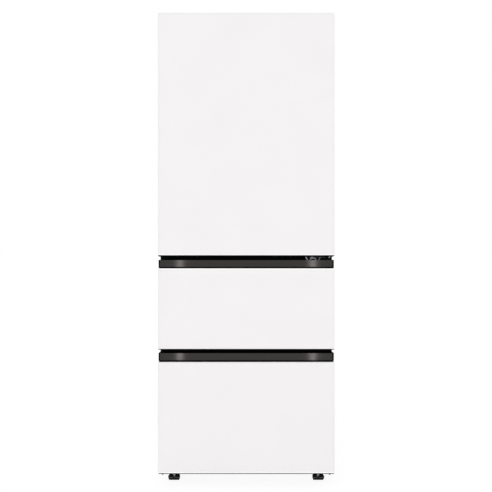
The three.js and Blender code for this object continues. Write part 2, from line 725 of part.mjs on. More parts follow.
function fanShroud() {
  const y = machineMiddleY;
  const plate = box(SHROUD_X, SHROUD_X + SHROUD_SHEET, machineFrontY + SHROUD_EDGE_GAP,
    backY - SHROUD_EDGE_GAP, onBaseZ, machineTopZ - SHROUD_EDGE_GAP);
  const windowRadius = FAN_RADIUS + FAN_TIP_GAP;
  const window = cylinderAlongX(windowRadius, SHROUD_X - CUT_PAST, SHROUD_X + SHROUD_SHEET + CUT_PAST,
    y, fanZ, ROUND_STEPS);
  const motorX1 = SHROUD_X + OVERLAP;
  const motor = cylinderAlongX(MOTOR_RADIUS, motorX1 - MOTOR_LENGTH, motorX1, y, fanZ, ROUND_STEPS);
  const shaft = cylinderAlongX(MOTOR_SHAFT_RADIUS, motorX1 - OVERLAP, fanX + FAN_HUB_LENGTH / 2, y, fanZ);
  const spokes = box(SHROUD_X - SHROUD_SHEET, SHROUD_X + OVERLAP, machineMiddleY - SPOKE_WIDTH / 2,
    machineMiddleY + SPOKE_WIDTH / 2, fanZ - windowRadius - SPOKE_WIDTH, fanZ + windowRadius + SPOKE_WIDTH);
  return union([plate.subtract(window), motor, shaft, spokes]);
}

// Hub and pitched blades about the X axis, around the origin.
function fan() {
  const half = FAN_HUB_LENGTH / 2;
  const blades = [];
  for (let index = 0; index < FAN_BLADES; index += 1) {
    const length = FAN_RADIUS - FAN_HUB_RADIUS + OVERLAP;
    const blade = new THREE.BoxGeometry(BLADE_THICKNESS, BLADE_CHORD, length);
    blade.rotateZ(THREE.MathUtils.degToRad(BLADE_PITCH));
    blade.translate(0, 0, FAN_HUB_RADIUS - OVERLAP + length / 2);
    blade.rotateX((2 * Math.PI * index) / FAN_BLADES);
    blades.push(solid(blade));
  }
  const hub = cylinderAlongX(FAN_HUB_RADIUS, -half, half, 0, 0, ROUND_STEPS);
  const bore = cylinderAlongX(MOTOR_SHAFT_RADIUS + SEAT, -half - CUT_PAST, half + CUT_PAST, 0, 0);
  return union([hub, ...blades]).subtract(bore);
}

const inletX = halfWidth - INLET_INSET;
const inletZ = machineTopZ - INLET_DROP;

function machineCover() {
  const coverFrontY = backY - MACHINE_COVER_SHEET;
  const sheet = box(-caseInnerX, caseInnerX, coverFrontY, backY, onBaseZ, machineTopZ - SEAT);
  const slots = [];
  const firstZ = fanZ - (LOUVRE_SPACING * (LOUVRE_COUNT - 1)) / 2;
  for (const x of [-LOUVRE_OFFSET, LOUVRE_OFFSET]) {
    for (let index = 0; index < LOUVRE_COUNT; index += 1) {
      const z = firstZ + LOUVRE_SPACING * index;
      slots.push(box(x - LOUVRE_WIDTH / 2, x + LOUVRE_WIDTH / 2, coverFrontY - CUT_PAST,
        backY + CUT_PAST, z - LOUVRE_HEIGHT / 2, z + LOUVRE_HEIGHT / 2));
    }
  }
  const inletHole = cylinderAlongY(INLET_DIAMETER / 2 + SEAT, backY - CUT_PAST, backY + CUT_PAST,
    inletX, inletZ, ROUND_STEPS);
  return cut(sheet, [...slots, inletHole]);
}

// Grommet for the mains lead, with its flange behind the cover and a through bore.
function cordInlet() {
  const flangeRear = MACHINE_COVER_SHEET + SEAT;
  const barrel = INLET_DIAMETER / 2;
  const geometry = new THREE.LatheGeometry([
    [INLET_BORE / 2, -INLET_LENGTH],
    [barrel + INLET_FLANGE, -INLET_LENGTH],
    [barrel + INLET_FLANGE, -flangeRear],
    [barrel, -flangeRear],
    [barrel, 0],
    [INLET_BORE / 2, 0],
    [INLET_BORE / 2, -INLET_LENGTH],
  ].map(([radius, y]) => new THREE.Vector2(radius, y)), ROUND_STEPS);
  return solid(geometry);
}

function machineRoomFittings(cabinet) {
  const pump = part(cabinet, 'compressor', compressor(), MACHINE_BLACK);
  pump.position.set(COMPRESSOR_X, machineMiddleY, onBaseZ);
  const tray = part(cabinet, 'drip_tray', dripTray(), TRIM_BLACK);
  tray.position.set(COMPRESSOR_X, machineMiddleY, onBaseZ + COMPRESSOR_HEIGHT + SEAT);
  const condenserLength = MACHINE_ROOM_DEPTH - 2 * CONDENSER_END_GAP;
  const condenser = part(cabinet, 'condenser',
    finnedBlock(condenserLength, CONDENSER_WIDTH, CONDENSER_HEIGHT), FIN_ALUMINIUM);
  condenser.rotation.z = Math.PI / 2;
  condenser.position.set(-caseInnerX + CONDENSER_SIDE_GAP + CONDENSER_WIDTH / 2, machineMiddleY, onBaseZ);
  part(cabinet, 'fan_shroud', fanShroud(), TRIM_BLACK);
  part(cabinet, 'machine_cover', machineCover(), STEEL_GREY);
  const inlet = part(cabinet, 'cord_inlet', cordInlet(), RUBBER_BLACK);
  inlet.position.set(inletX, backY, inletZ);
}

// ---------------------------------------------------------------- fronts

function frontPanel(panel) {
  const outline = roundedRectangle(-halfWidth, halfWidth, panel.bottom, panel.top, PANEL_CORNER_RADIUS);
  return prismAlongY(outline, frontY, frontY + PANEL_THICKNESS);
}

// The gasket runs round the room's opening, squeezed between the front and the cabinet.
function gasket(room) {
  const reach = GASKET_MARGIN + GASKET_WIDTH;
  return ringAlongY(roomHalf + reach, room.bottom - reach, room.top + reach, GASKET_WIDTH,
    gasketFrontY, gasketRearY);
}

// ---------------------------------------------------------------- upper door

const dikeHalf = roomHalf - DIKE_GAP;
const doorBinHalf = dikeHalf - DIKE_WIDTH - RUN;
const firstBinZ = upperRoom.bottom + DIKE_GAP + DIKE_WIDTH + DOOR_BIN_FIRST;
const lastBinRoofZ = upperRoom.top - DIKE_GAP - DIKE_WIDTH;
const doorBinSpacing = (lastBinRoofZ - firstBinZ) / DOOR_BIN_COUNT;

function doorBinZ(index) {
  return firstBinZ + doorBinSpacing * index;
}

function doorBody() {
  const block = box(-bodyHalfWidth, bodyHalfWidth, bodyFrontY, doorBodyRearY,
    doorBodyBottomZ, doorBodyTopZ);
  const notchReach = HINGE_ARM_WIDTH / 2 + RUN;
  const notch = box(hingeX - notchReach, halfWidth + CUT_PAST, hingeY - 2 * notchReach,
    doorBodyRearY + CUT_PAST, topArmZ - RUN, doorBodyTopZ + CUT_PAST);
  const lowerHole = cylinderAlongZ(pinHoleRadius, doorBodyBottomZ - CUT_PAST,
    doorBodyBottomZ + PIN_REACH + RUN, hingeX, hingeY);
  const upperHole = cylinderAlongZ(pinHoleRadius, topArmZ - 3 * RUN - PIN_REACH, topArmZ, hingeX, hingeY);
  return cut(block, [notch, lowerHole, upperHole]);
}

function doorLiner() {
  const plateReach = GASKET_MARGIN + GASKET_WIDTH + GASKET_EDGE;
  const plateHalf = roomHalf + plateReach;
  const plate = box(-plateHalf, plateHalf, frontsRearY - LINER_WALL, frontsRearY,
    upperRoom.bottom - plateReach, upperRoom.top + plateReach);
  const dike = ringAlongY(dikeHalf, upperRoom.bottom + DIKE_GAP, upperRoom.top - DIKE_GAP, DIKE_WIDTH,
    frontsRearY - OVERLAP, frontsRearY + DIKE_DEPTH);
  const dikeInner = dikeHalf - DIKE_WIDTH;
  const lugs = [];
  for (let index = 0; index < DOOR_BIN_COUNT; index += 1) {
    const top = doorBinZ(index) - SEAT;
    const y0 = frontsRearY - OVERLAP;
    const y1 = frontsRearY + LUG_DEPTH;
    lugs.push(box(-dikeInner - OVERLAP, -dikeInner + LUG_WIDTH, y0, y1, top - LUG_HEIGHT, top));
    lugs.push(box(dikeInner - LUG_WIDTH, dikeInner + OVERLAP, y0, y1, top - LUG_HEIGHT, top));
  }
  return union([plate, dike, ...lugs]);
}

function doorBin(index) {
  const z0 = doorBinZ(index);
  const y0 = frontsRearY + SEAT;
  const wall = DOOR_BIN_WALL;
  const outer = roundedRectangle(-doorBinHalf, doorBinHalf, y0, binRearY, DOOR_BIN_RADIUS);
  const inner = roundedRectangle(-doorBinHalf + wall, doorBinHalf - wall, y0 + wall, binRearY - wall,
    DOOR_BIN_RADIUS - wall);
  return prismAlongZ(outer, z0, z0 + DOOR_BIN_HEIGHT)
    .subtract(prismAlongZ(inner, z0 + wall, z0 + DOOR_BIN_HEIGHT + CUT_PAST));
}

function upperDoor() {
  const door = new THREE.Group();
  part(door, 'door_panel', frontPanel(upperPanel), PANEL_WHITE);
  part(door, 'door_body', doorBody(), BODY_DARK);
  part(door, 'door_liner', doorLiner(), LINER_WHITE);
  part(door, 'door_gasket', gasket(upperRoom), RUBBER_GREY);
  for (let index = 0; index < DOOR_BIN_COUNT; index += 1) {
    part(door, `door_bin_${index + 1}`, doorBin(index), CLEAR);
  }
  return door;
}

// ---------------------------------------------------------------- drawers

const railOuterX = roomHalf - SEAT;
const frameOuterX = railOuterX - RAIL_THICKNESS - RUN;
const frameInnerX = frameOuterX - FRAME_THICKNESS;
const binLowerHalf = frameInnerX - RUN;
const binUpperHalf = roomHalf - BIN_SIDE_GAP;
const stripFrontY = frontY + STRIP_SETBACK;
const stripBackY = stripFrontY + STRIP_SHEET;

function drawerPlaces(room) {
  const frameTop = room.bottom + FRAME_LEVEL;
  const frameRearY = room.backY - FRAME_BACK_GAP;
  const places = { frameTop, frameRearY };
  places.railTop = frameTop - FRAME_FLANGE - SEAT;
  places.ledgeZ = frameTop + SEAT;
  places.binFrontY = cabinetY + BIN_FRONT_GAP;
  places.binBackY = frameRearY - CROSS_BAR - RUN;
  places.binBottom = room.bottom + BIN_FLOOR_GAP;
  places.binTop = room.top - BIN_TOP_GAP;
  return places;
}

function drawerBody(panel) {
  return box(-bodyHalfWidth, bodyHalfWidth, bodyFrontY, frontsRearY, panel.bottom - BODY_DROP, panel.top);
}

// Upright face with a top that is deep in the middle and narrows in a smooth curve to both ends.
function handleStrip(panel) {
  const z0 = panel.top + STRIP_SHADOW;
  const z1 = panel.top + STRIP_RISE;
  const face = box(-halfWidth, halfWidth, stripFrontY, stripBackY, z0, z1);
  const narrow = halfWidth - FLANGE_END;
  const wide = narrow - FLANGE_TAPER;
  const bend = (narrow + wide) / 2;
  const deepY = stripFrontY + FLANGE_DEPTH;
  const outline = new THREE.Shape();
  outline.moveTo(-narrow, stripFrontY + OVERLAP);
  outline.lineTo(narrow, stripFrontY + OVERLAP);
  outline.lineTo(narrow, stripBackY);
  outline.bezierCurveTo(bend, stripBackY, bend, deepY, wide, deepY);
  outline.lineTo(-wide, deepY);
  outline.bezierCurveTo(-bend, deepY, -bend, stripBackY, -narrow, stripBackY);
  return face.add(prismAlongZ(outline, z1 - STRIP_SHEET, z1));
}

// Black tray behind the strip: floor, rear wall and two ends round the finger pocket.
function handleHousing(panel) {
  const z0 = panel.top + SEAT;
  const floorTop = panel.top + STRIP_SHADOW - SEAT;
  const z1 = panel.top + STRIP_RISE;
  const innerEnd = bodyHalfWidth - HOUSING_END;
  const endFrontY = stripBackY + SEAT;
  return union([
    box(-bodyHalfWidth, bodyHalfWidth, stripFrontY + GROOVE_DEPTH, frontsRearY, z0, floorTop),
    box(-bodyHalfWidth, bodyHalfWidth, frontsRearY - HOUSING_WALL, frontsRearY, z0, z1),
    box(-bodyHalfWidth, -innerEnd, endFrontY, frontsRearY, z0, z1),
    box(innerEnd, bodyHalfWidth, endFrontY, frontsRearY, z0, z1),
  ]);
}

function slideFrame(room) {
  const { frameTop, frameRearY } = drawerPlaces(room);
  const bottom = frameTop - FRAME_HEIGHT;
  const frontTabY = frontsRearY + SEAT;
  const pieces = [
    box(-frameOuterX, frameOuterX, frameRearY - CROSS_BAR, frameRearY, bottom, bottom + FRAME_HEIGHT / 2),
  ];
  for (const side of [-1, 1]) {
    const near = side * frameInnerX;
    const far = side * frameOuterX;
    const tip = side * (frameOuterX + RUN + FRAME_LIP);
    const tab = side * (frameInnerX - FRAME_TAB);
    const span = (a, b) => [Math.min(a, b), Math.max(a, b)];
    pieces.push(box(...span(near, far), frontTabY, frameRearY, bottom, frameTop));
    pieces.push(box(...span(near, tip), cabinetY + RAIL_START, frameRearY,
      frameTop - FRAME_FLANGE, frameTop));
    pieces.push(box(...span(tab, far), frontTabY, frontTabY + FRAME_FLANGE, bottom, frameTop));
  }
  return union(pieces);
}

function cabinetRail(room, side) {
  const { railTop } = drawerPlaces(room);
  const near = side * (railOuterX - RAIL_THICKNESS);
  const far = side * railOuterX;
  return box(Math.min(near, far), Math.max(near, far), cabinetY + RAIL_START, room.backY - SEAT,
    railTop - RAIL_HEIGHT, railTop);
}

// Half-widths of the bin below and above the ledge that rests on the slide frame.
function binOutline(shrink, bottom, ledge, top) {
  const low = binLowerHalf - shrink;
  const high = binUpperHalf - shrink;
  return polygon([
    [-low, bottom], [low, bottom], [low, ledge], [high, ledge],
    [high, top], [-high, top], [-high, ledge], [-low, ledge],
  ]);
}

function drawerBin(room) {
  const { ledgeZ, binFrontY, binBackY, binBottom, binTop } = drawerPlaces(room);
  const outer = prismAlongY(binOutline(0, binBottom, ledgeZ, binTop), binFrontY, binBackY);
  const space = binOutline(BIN_WALL, binBottom + BIN_WALL, ledgeZ + BIN_WALL, binTop + CUT_PAST);
  const inner = prismAlongY(space, binFrontY + BIN_WALL, binBackY - BIN_WALL);
  const rimHalf = binUpperHalf + BIN_RIM;
  const rim = box(-rimHalf, rimHalf, binFrontY - BIN_RIM, binBackY + BIN_RIM, binTop - BIN_RIM, binTop);
  return outer.add(rim).subtract(inner);
}

function drawer(name, panel, room) {
  const group = new THREE.Group();
  part(group, `${name}_panel`, frontPanel(panel), PANEL_WHITE);
  part(group, `${name}_body`, drawerBody(panel), BODY_DARK);
  part(group, `${name}_handle_strip`, handleStrip(panel), STRIP_GREY);
  part(group, `${name}_handle_housing`, handleHousing(panel), TRIM_BLACK);
  part(group, `${name}_gasket`, gasket(room), RUBBER_GREY);
  part(group, `${name}_slide_frame`, slideFrame(room), ZINC);
  part(group, `${name}_bin`, drawerBin(room), LINER_WHITE);
  return group;
}

// ---------------------------------------------------------------- kimchi containers

function containerPlaces() {
  const { binFrontY, binBackY, binBottom } = drawerPlaces(lowerRoom);
  const binInner = binLowerHalf - BIN_WALL;
  const width = binInner - 2 * CONTAINER_GAP;
  return {
    halfX: width / 2,
    x: CONTAINER_GAP + width / 2,
    y0: binFrontY + BIN_WALL + CONTAINER_GAP,
    y1: binBackY - BIN_WALL - CONTAINER_GAP,
    z0: binBottom + BIN_WALL + SEAT,
    top: lowerRoom.top - LID_TOP_GAP - LID_PLATE - SEAT,
  };
}

function container(centre) {
  const { halfX, y0, y1, z0, top } = containerPlaces();
  const wall = CONTAINER_WALL;
  const outer = roundedRectangle(centre - halfX, centre + halfX, y0, y1, CONTAINER_RADIUS);
  const inner = roundedRectangle(centre - halfX + wall, centre + halfX - wall, y0 + wall, y1 - wall,
    CONTAINER_RADIUS - wall);
  return prismAlongZ(outer, z0, top).subtract(prismAlongZ(inner, z0 + wall, top + CUT_PAST));
}

function containerLid(centre) {
  const { halfX, y0, y1, top } = containerPlaces();
  const roof = top + SEAT;
  const grown = (by) => roundedRectangle(centre - halfX - by, centre + halfX + by, y0 - by, y1 + by,
    CONTAINER_RADIUS + by);
  return prismAlongZ(grown(LID_OVERHANG), roof - LID_SKIRT, roof + LID_PLATE)
    .subtract(prismAlongZ(grown(RUN), roof - LID_SKIRT - CUT_PAST, roof));
}

function containers(group) {
  const { x } = containerPlaces();
  for (const [name, centre] of [['left', -x], ['right', x]]) {
    part(group, `container_${name}`, container(centre), CONTAINER_GREY);
    part(group, `container_${name}_lid`, containerLid(centre), LID_WHITE);
  }
}

// ---------------------------------------------------------------- feet and rollers

// A square pad with round corners, chamfered below and above, on its threaded stud.
function frontFoot() {
  const squareSteps = 4;
  const profile = [
    [0, 0],
    [FOOT_SOLE, 0],
    [FOOT_WIDEST, FOOT_SOLE_RISE],
    [FOOT_WIDEST, FOOT_HEIGHT - FOOT_SHOULDER],
    [FOOT_TOP, FOOT_HEIGHT],
    [0, FOOT_HEIGHT],
  ].map(([width, z]) => [(width / 2) * Math.SQRT2, z]);
  const square = turned(profile, squareSteps);
  square.rotateZ(Math.PI / squareSteps);
  const corners = cylinderAlongZ(FOOT_CORNERS / 2, -CUT_PAST, FOOT_HEIGHT + CUT_PAST, 0, 0, ROUND_STEPS);
  const stud = cylinderAlongZ(STUD_DIAMETER / 2, FOOT_HEIGHT - OVERLAP, studTopZ, 0, 0, ROUND_STEPS);
  return solid(square).intersect(corners).add(stud);
}

function rearRoller() {
  const bore = AXLE_DIAMETER / 2 + SEAT;
  const radius = rollerDiameter / 2;
  const half = ROLLER_WIDTH / 2;
  const geometry = turned([
    [bore, -half],
    [radius, -half],
    [radius, half],
    [bore, half],
    [bore, -half],
  ]);
  geometry.rotateY(Math.PI / 2);
  return geometry;
}

function footAndRollers(root) {
  for (const [name, side] of [['left', -1], ['right', 1]]) {
    const foot = part(root, `front_foot_${name}`, frontFoot(), RUBBER_BLACK);
    foot.position.set(side * footX, footY, 0);
    const roller = part(root, `rear_roller_${name}`, solid(rearRoller()), RUBBER_BLACK);
    roller.position.set(side * rollerX, rollerY, rollerZ);
  }
}

// ---------------------------------------------------------------- assembly

function refrigerator() {
  const root = new THREE.Group();
  const cabinet = new THREE.Group();
  cabinetShell(cabinet);
  hinges(cabinet);
  upperRoomFittings(cabinet);
  machineRoomFittings(cabinet);
  for (const [name, room] of [['middle', middleRoom], ['lower', lowerRoom]]) {
    part(cabinet, `${name}_rail_left`, cabinetRail(room, -1), ZINC);
    part(cabinet, `${name}_rail_right`, cabinetRail(room, 1), ZINC);
  }
  const blower = part(cabinet, 'condenser_fan', fan(), TRIM_BLACK);
  blower.position.set(fanX, machineMiddleY, fanZ);
  footAndRollers(cabinet);
  root.add(cabinet);
  root.add(upperDoor());
  root.add(drawer('middle', middlePanel, middleRoom));
  const lowerDrawer = drawer('lower', lowerPanel, lowerRoom);
  containers(lowerDrawer);
  root.add(lowerDrawer);
  return root;
}

export default refrigerator();
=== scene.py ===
import json
import math
from collections import namedtuple
from functools import cache
from itertools import product

import bmesh
import bpy
from mathutils import Matrix, Vector

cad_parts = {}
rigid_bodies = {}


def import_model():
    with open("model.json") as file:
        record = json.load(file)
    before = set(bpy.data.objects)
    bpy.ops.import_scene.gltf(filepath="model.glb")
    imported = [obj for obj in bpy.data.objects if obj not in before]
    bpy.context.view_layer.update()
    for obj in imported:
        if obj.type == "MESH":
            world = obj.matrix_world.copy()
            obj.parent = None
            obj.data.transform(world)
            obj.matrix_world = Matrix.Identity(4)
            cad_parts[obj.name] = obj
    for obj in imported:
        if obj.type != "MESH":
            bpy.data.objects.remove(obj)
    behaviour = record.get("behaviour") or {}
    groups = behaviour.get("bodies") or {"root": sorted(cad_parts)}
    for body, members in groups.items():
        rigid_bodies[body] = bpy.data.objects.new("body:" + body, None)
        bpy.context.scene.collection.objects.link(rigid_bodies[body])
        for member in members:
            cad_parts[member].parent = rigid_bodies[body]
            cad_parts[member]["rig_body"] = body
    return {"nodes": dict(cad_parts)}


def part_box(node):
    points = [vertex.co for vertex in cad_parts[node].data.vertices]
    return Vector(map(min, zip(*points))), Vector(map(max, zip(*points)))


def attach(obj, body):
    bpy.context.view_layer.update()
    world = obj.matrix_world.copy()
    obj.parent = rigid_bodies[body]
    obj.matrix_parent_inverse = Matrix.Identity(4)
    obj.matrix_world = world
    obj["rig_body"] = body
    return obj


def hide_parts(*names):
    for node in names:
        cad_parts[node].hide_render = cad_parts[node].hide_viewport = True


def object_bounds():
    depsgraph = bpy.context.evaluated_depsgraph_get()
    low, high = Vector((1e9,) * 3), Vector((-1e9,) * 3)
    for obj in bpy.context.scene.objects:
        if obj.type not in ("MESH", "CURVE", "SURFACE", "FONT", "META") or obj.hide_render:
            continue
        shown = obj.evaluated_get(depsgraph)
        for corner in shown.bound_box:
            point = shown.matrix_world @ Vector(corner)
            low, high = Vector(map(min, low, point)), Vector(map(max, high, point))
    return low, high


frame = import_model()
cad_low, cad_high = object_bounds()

# Lengths are millimetres until a piece is made, in the row frame: the doors face -Y.
MM = 0.001
NODES = frame["nodes"]
Box = namedtuple("Box", "x0 x1 y0 y1 z0 z1")


def place(node):
    """Lowest and highest place of a CAD node along each axis, in millimetres."""
    low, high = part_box(node)
    return Box(*(v / MM for v in (low.x, high.x, low.y, high.y, low.z, high.z)))


# -------- materials


def linear(colour, factor):
    """A colour as 0-255 values to the values that a shader takes, times a factor."""
    values = []
    for part in colour:
        c = part / 255
        c = c / 12.92 if c <= 0.04045 else ((c + 0.055) / 1.055) ** 2.4
        values.append(min(1.0, c * factor))
    return (*values, 1)


def new_node(tree, kind, inputs=(), **settings):
    """A shader node. Each input, by its name or number, is set to a value or linked to a socket."""
    made = tree.nodes.new("ShaderNode" + kind)
    for name, value in settings.items():
        setattr(made, name, value)
    for name, value in dict(inputs).items():
        if isinstance(value, bpy.types.NodeSocket):
            tree.links.new(value, made.inputs[name])
        else:
            made.inputs[name].default_value = value
    return made


def noise(tree, scale, stretch, detail=3.0):
    """Noise in object space, scale in features per metre."""
    place_on = new_node(tree, "TexCoord").outputs["Object"]
    mapped = new_node(tree, "Mapping", {"Scale": stretch, "Vector": place_on}).outputs["Vector"]
    return new_node(tree, "TexNoise", {"Scale": scale, "Detail": detail, "Vector": mapped}).outputs["Fac"]


def spangle(tree, scale):
    """One value for each crystal of a zinc or steel sheet."""
    place_on = new_node(tree, "TexCoord").outputs["Object"]
    crystals = new_node(tree, "TexVoronoi", {"Scale": scale, "Vector": place_on}).outputs["Color"]
    return new_node(tree, "SeparateColor", {"Color": crystals}).outputs["Red"]


NOISE_LOW, NOISE_HIGH = 0.3, 0.7  # most values of a noise lie between these


def spread(tree, source, low, high):
    """A 0-1 texture value mapped to low-high, with the middle of the noise stretched out."""
    return new_node(tree, "MapRange", {"Value": source, "From Min": NOISE_LOW, "From Max": NOISE_HIGH,
                                       "To Min": low, "To Max": high}).outputs["Result"]


# The record's slot, colour, roughness from and to, tone from and to, features per metre of the
# tone and of the grain, height of the grain, plain shader values, stretch of the noise, and
# whether the tone is a crystal pattern.
Finish = namedtuple("Finish", "slot colour rough tone tone_scale grain depth values stretch crystals",
                    defaults=({}, (1, 1, 1), False))


def specular(level):
    return {"Specular IOR Level": level}


def metal(share):
    return {"Metallic": share}


MATTE = specular(0.0)
FINISHES = {
    "panel": Finish("panel_white", (244, 242, 243), (0.42, 0.5), (0.992, 1.006), 6, 600, 0.012),
    # The near-white trim finish is a painted highlight: light caught by the rounded edges of the fronts.
    "edge_painted_highlight": Finish("panel_white", (254, 254, 254), (0.26, 0.34), (0.99, 1.0), 9, 900, 0.006),
    # The grey trim finish is painted shade on the rounded side edges and on the door's top edge.
    "edge_painted_shade": Finish("panel_white", (240, 240, 240), (0.34, 0.42), (0.985, 1.01), 9, 900, 0.008),
    "body": Finish("body_dark", (20, 20, 21), (0.5, 0.62), (0.85, 1.2), 30, 1500, 0.03, specular(0.3)),
    # The near-black matte ledge finish is painted shade: a darker copy of the body colour on the front of
    # the tops of the door's and the middle front's bodies.
    "ledge": Finish("body_dark", (9, 9, 9), (0.7, 0.8), (0.85, 1.2), 30, 1500, 0.03, MATTE),
    # This lighter matte copy of the body colour is painted light on the lower front's ledge.
    "painted_light_ledge": Finish("body_dark", (44, 43, 43), (0.7, 0.8), (0.9, 1.1), 30, 1500, 0.03, MATTE),
    "strip": Finish("strip_grey", (57, 55, 54), (0.06, 0.072), (0.95, 1.06), 60, 900, 0.003,
                    metal(0.9), (0.02, 1, 1)),
    "black": Finish("trim_black", (10, 10, 11), (0.5, 0.64), (0.8, 1.25), 40, 1300, 0.03, specular(0.2)),
    "recess": Finish("trim_black", (8, 8, 9), (0.6, 0.7), (0.8, 1.25), 40, 1300, 0.03, MATTE),
    "bar": Finish("front_bar_black", (5, 5, 6), (0.5, 0.6), (0.85, 1.2), 25, 500, 0.012, specular(0.05)),
    "case": Finish("case_white", (236, 235, 235), (0.38, 0.47), (0.985, 1.01), 5, 450, 0.02),
    "liner": Finish("liner_white", (240, 240, 238), (0.3, 0.38), (0.985, 1.01), 8, 260, 0.005),
    "foam": Finish("foam", (230, 214, 160), (0.85, 0.95), (0.86, 1.1), 70, 380, 0.5),
    "zinc": Finish("zinc", (188, 191, 195), (0.3, 0.48), (0.88, 1.08), 200, 240, 0.02,
                   metal(0.9), crystals=True),
    "hinge": Finish("hinge_steel", (9, 9, 10), (0.4, 0.5), (0.85, 1.15), 80, 900, 0.02, specular(0.1)),
    # This grey copy of the hinge steel is a painted highlight along the plate's edge, not wear.
    "hinge_edge_highlight": Finish("hinge_steel", (62, 62, 65), (0.36, 0.48), (0.8, 1.2), 160, 900, 0.02),
    # These light copies of the hinge steel are painted highlights: the crescent on the cam's dome, the tab
    # and the flange lines.
    "hinge_cam_highlight": Finish("hinge_steel", (158, 158, 163), (0.3, 0.42), (0.86, 1.1), 160, 900, 0.01,
                        metal(0.4)),
    "hinge_highlight_paint": Finish("hinge_steel", (206, 206, 210), (0.3, 0.42), (0.9, 1.06), 160, 900, 0.01, metal(0.4)),
    # A lighter, less metallic copy of the zinc for the foot studs: partly the studs' own bright zinc,
    # partly a painted highlight so that they show light in the shade under the cabinet.
    "stud": Finish("zinc", (236, 237, 239), (0.16, 0.24), (0.94, 1.04), 200, 240, 0.01, metal(0.4)),
    "steel": Finish("steel_grey", (168, 171, 173), (0.38, 0.5), (0.95, 1.04), 240, 260, 0.02,
                    metal(0.75), crystals=True),
    "glass": Finish("shelf_glass", (238, 248, 246), (0.02, 0.04), (0.99, 1.0), 12, 40, 0.004,
                    {"Transmission Weight": 0.94, "IOR": 1.5}),
    "clear": Finish("clear_plastic", (251, 253, 253), (0.06, 0.12), (0.985, 1.0), 15, 90, 0.02,
                    {"Transmission Weight": 0.86, "IOR": 1.49}),
    "lamp": Finish("lamp_diffuser", (246, 246, 240), (0.22, 0.32), (0.98, 1.01), 20, 420, 0.05,
                   {"Transmission Weight": 0.25}, (1, 0.02, 1)),
    "control": Finish("control_black", (14, 14, 16), (0.07, 0.11), (0.9, 1.15), 12, 50, 0.004,
                      {"Coat Weight": 0.6}),
    "marks": Finish("control_black", (214, 218, 220), (0.4, 0.5), (0.95, 1.02), 200, 900, 0.004),
    "fins": Finish("fin_aluminium", (202, 204, 206), (0.3, 0.42), (0.88, 1.06), 120, 900, 0.02,
                   metal(0.95), (1, 1, 0.05)),
    "copper": Finish("fin_aluminium", (196, 122, 84), (0.26, 0.4), (0.75, 1.12), 60, 500, 0.02, metal(1)),
    "machine": Finish("machine_black", (22, 22, 23), (0.26, 0.4), (0.85, 1.25), 30, 300, 0.03,
                      {"Coat Weight": 0.3}),
    "gasket": Finish("gasket_grey", (172, 174, 176), (0.62, 0.74), (0.95, 1.04), 25, 900, 0.02),
    "rubber": Finish("rubber_black", (8, 8, 9), (0.6, 0.78), (0.7, 1.5), 160, 900, 0.04, specular(0.15)),
    # A grey band on the black rubber pad: a painted highlight along the pad's chamfer.
    "rim": Finish("rubber_black", (84, 84, 86), (0.4, 0.55), (0.8, 1.2), 160, 900, 0.03),
    "bin": Finish("bin_white", (237, 237, 234), (0.36, 0.46), (0.985, 1.01), 10, 700, 0.015),
    "container": Finish("container_grey", (204, 206, 202), (0.34, 0.44), (0.97, 1.02), 14, 600, 0.02,
                        {"Subsurface Weight": 0.1, "Subsurface Scale": 0.004}),
    "lid": Finish("lid_white", (242, 241, 238), (0.26, 0.34), (0.985, 1.01), 12, 500, 0.012),
    "silicone": Finish("gasket_grey", (205, 92, 70), (0.5, 0.6), (0.94, 1.04), 60, 900, 0.01),
}
PATCH_SCALE = 1.7  # roughness varies in patches of its own, this much finer than the tone


@cache
def material(name):
    """The material of a finish, made at its first use."""
    f = FINISHES[name]
    made = bpy.data.materials.new(name)
    made.use_nodes = True
    tree = made.node_tree
    shader = tree.nodes["Principled BSDF"]
    source = spangle(tree, f.tone_scale) if f.crystals else noise(tree, f.tone_scale, f.stretch)
    dark, light = (linear(f.colour, factor) for factor in f.tone)
    tone = new_node(tree, "Mix", {"Factor": spread(tree, source, 0, 1), "A": dark, "B": light},
                    data_type="RGBA")
    patches = noise(tree, f.tone_scale * PATCH_SCALE, f.stretch)
    grain = noise(tree, f.grain, f.stretch, 2.0)
    bump = new_node(tree, "Bump", {"Height": grain, "Distance": f.depth * MM})
    for socket, value in (("Base Color", tone.outputs["Result"]),
                          ("Roughness", spread(tree, patches, *f.rough)),
                          ("Normal", bump.outputs["Normal"])):
        tree.links.new(value, shader.inputs[socket])
    for socket, value in f.values.items():
        shader.inputs[socket].default_value = value
    return made


# -------- mesh helpers

AXES = {"x": (1, 2, 0), "y": (0, 2, 1), "z": (0, 1, 2)}
LEAST_RADIUS = 0.2
MOST_OF_SIDE = 0.45  # share of a side that a rounding or a bend takes at most
WELD = 0.001
FLAT_ANGLE = 1


def point(axis, u, v, h):
    """A point from two values across an axis and one along it."""
    p = [0, 0, 0]
    for index, value in zip(AXES[axis], (u, v, h)):
        p[index] = value
    return Vector(p)


def quarter(steps):
    """The angles of a quarter turn."""
    return [math.radians(90 * step / steps) for step in range(steps + 1)]


def rect_ring(axis, rect, h, du, dv, radius, steps=5):
    """Points round a rounded rectangle, drawn in by du and dv, at height h along the axis."""
    u0, u1, v0, v1 = rect[0] + du, rect[1] - du, rect[2] + dv, rect[3] - dv
    r = max(radius - (du + dv) / 2, LEAST_RADIUS)
    corners = ((u1 - r, v0 + r, -90), (u1 - r, v1 - r, 0), (u0 + r, v1 - r, 90), (u0 + r, v0 + r, 180))
    ring = []
    for cu, cv, start in corners:
        for step in range(steps + 1):
            a = math.radians(start + 90 * step / steps)
            ring.append(point(axis, cu + r * math.cos(a), cv + r * math.sin(a), h))
    return ring


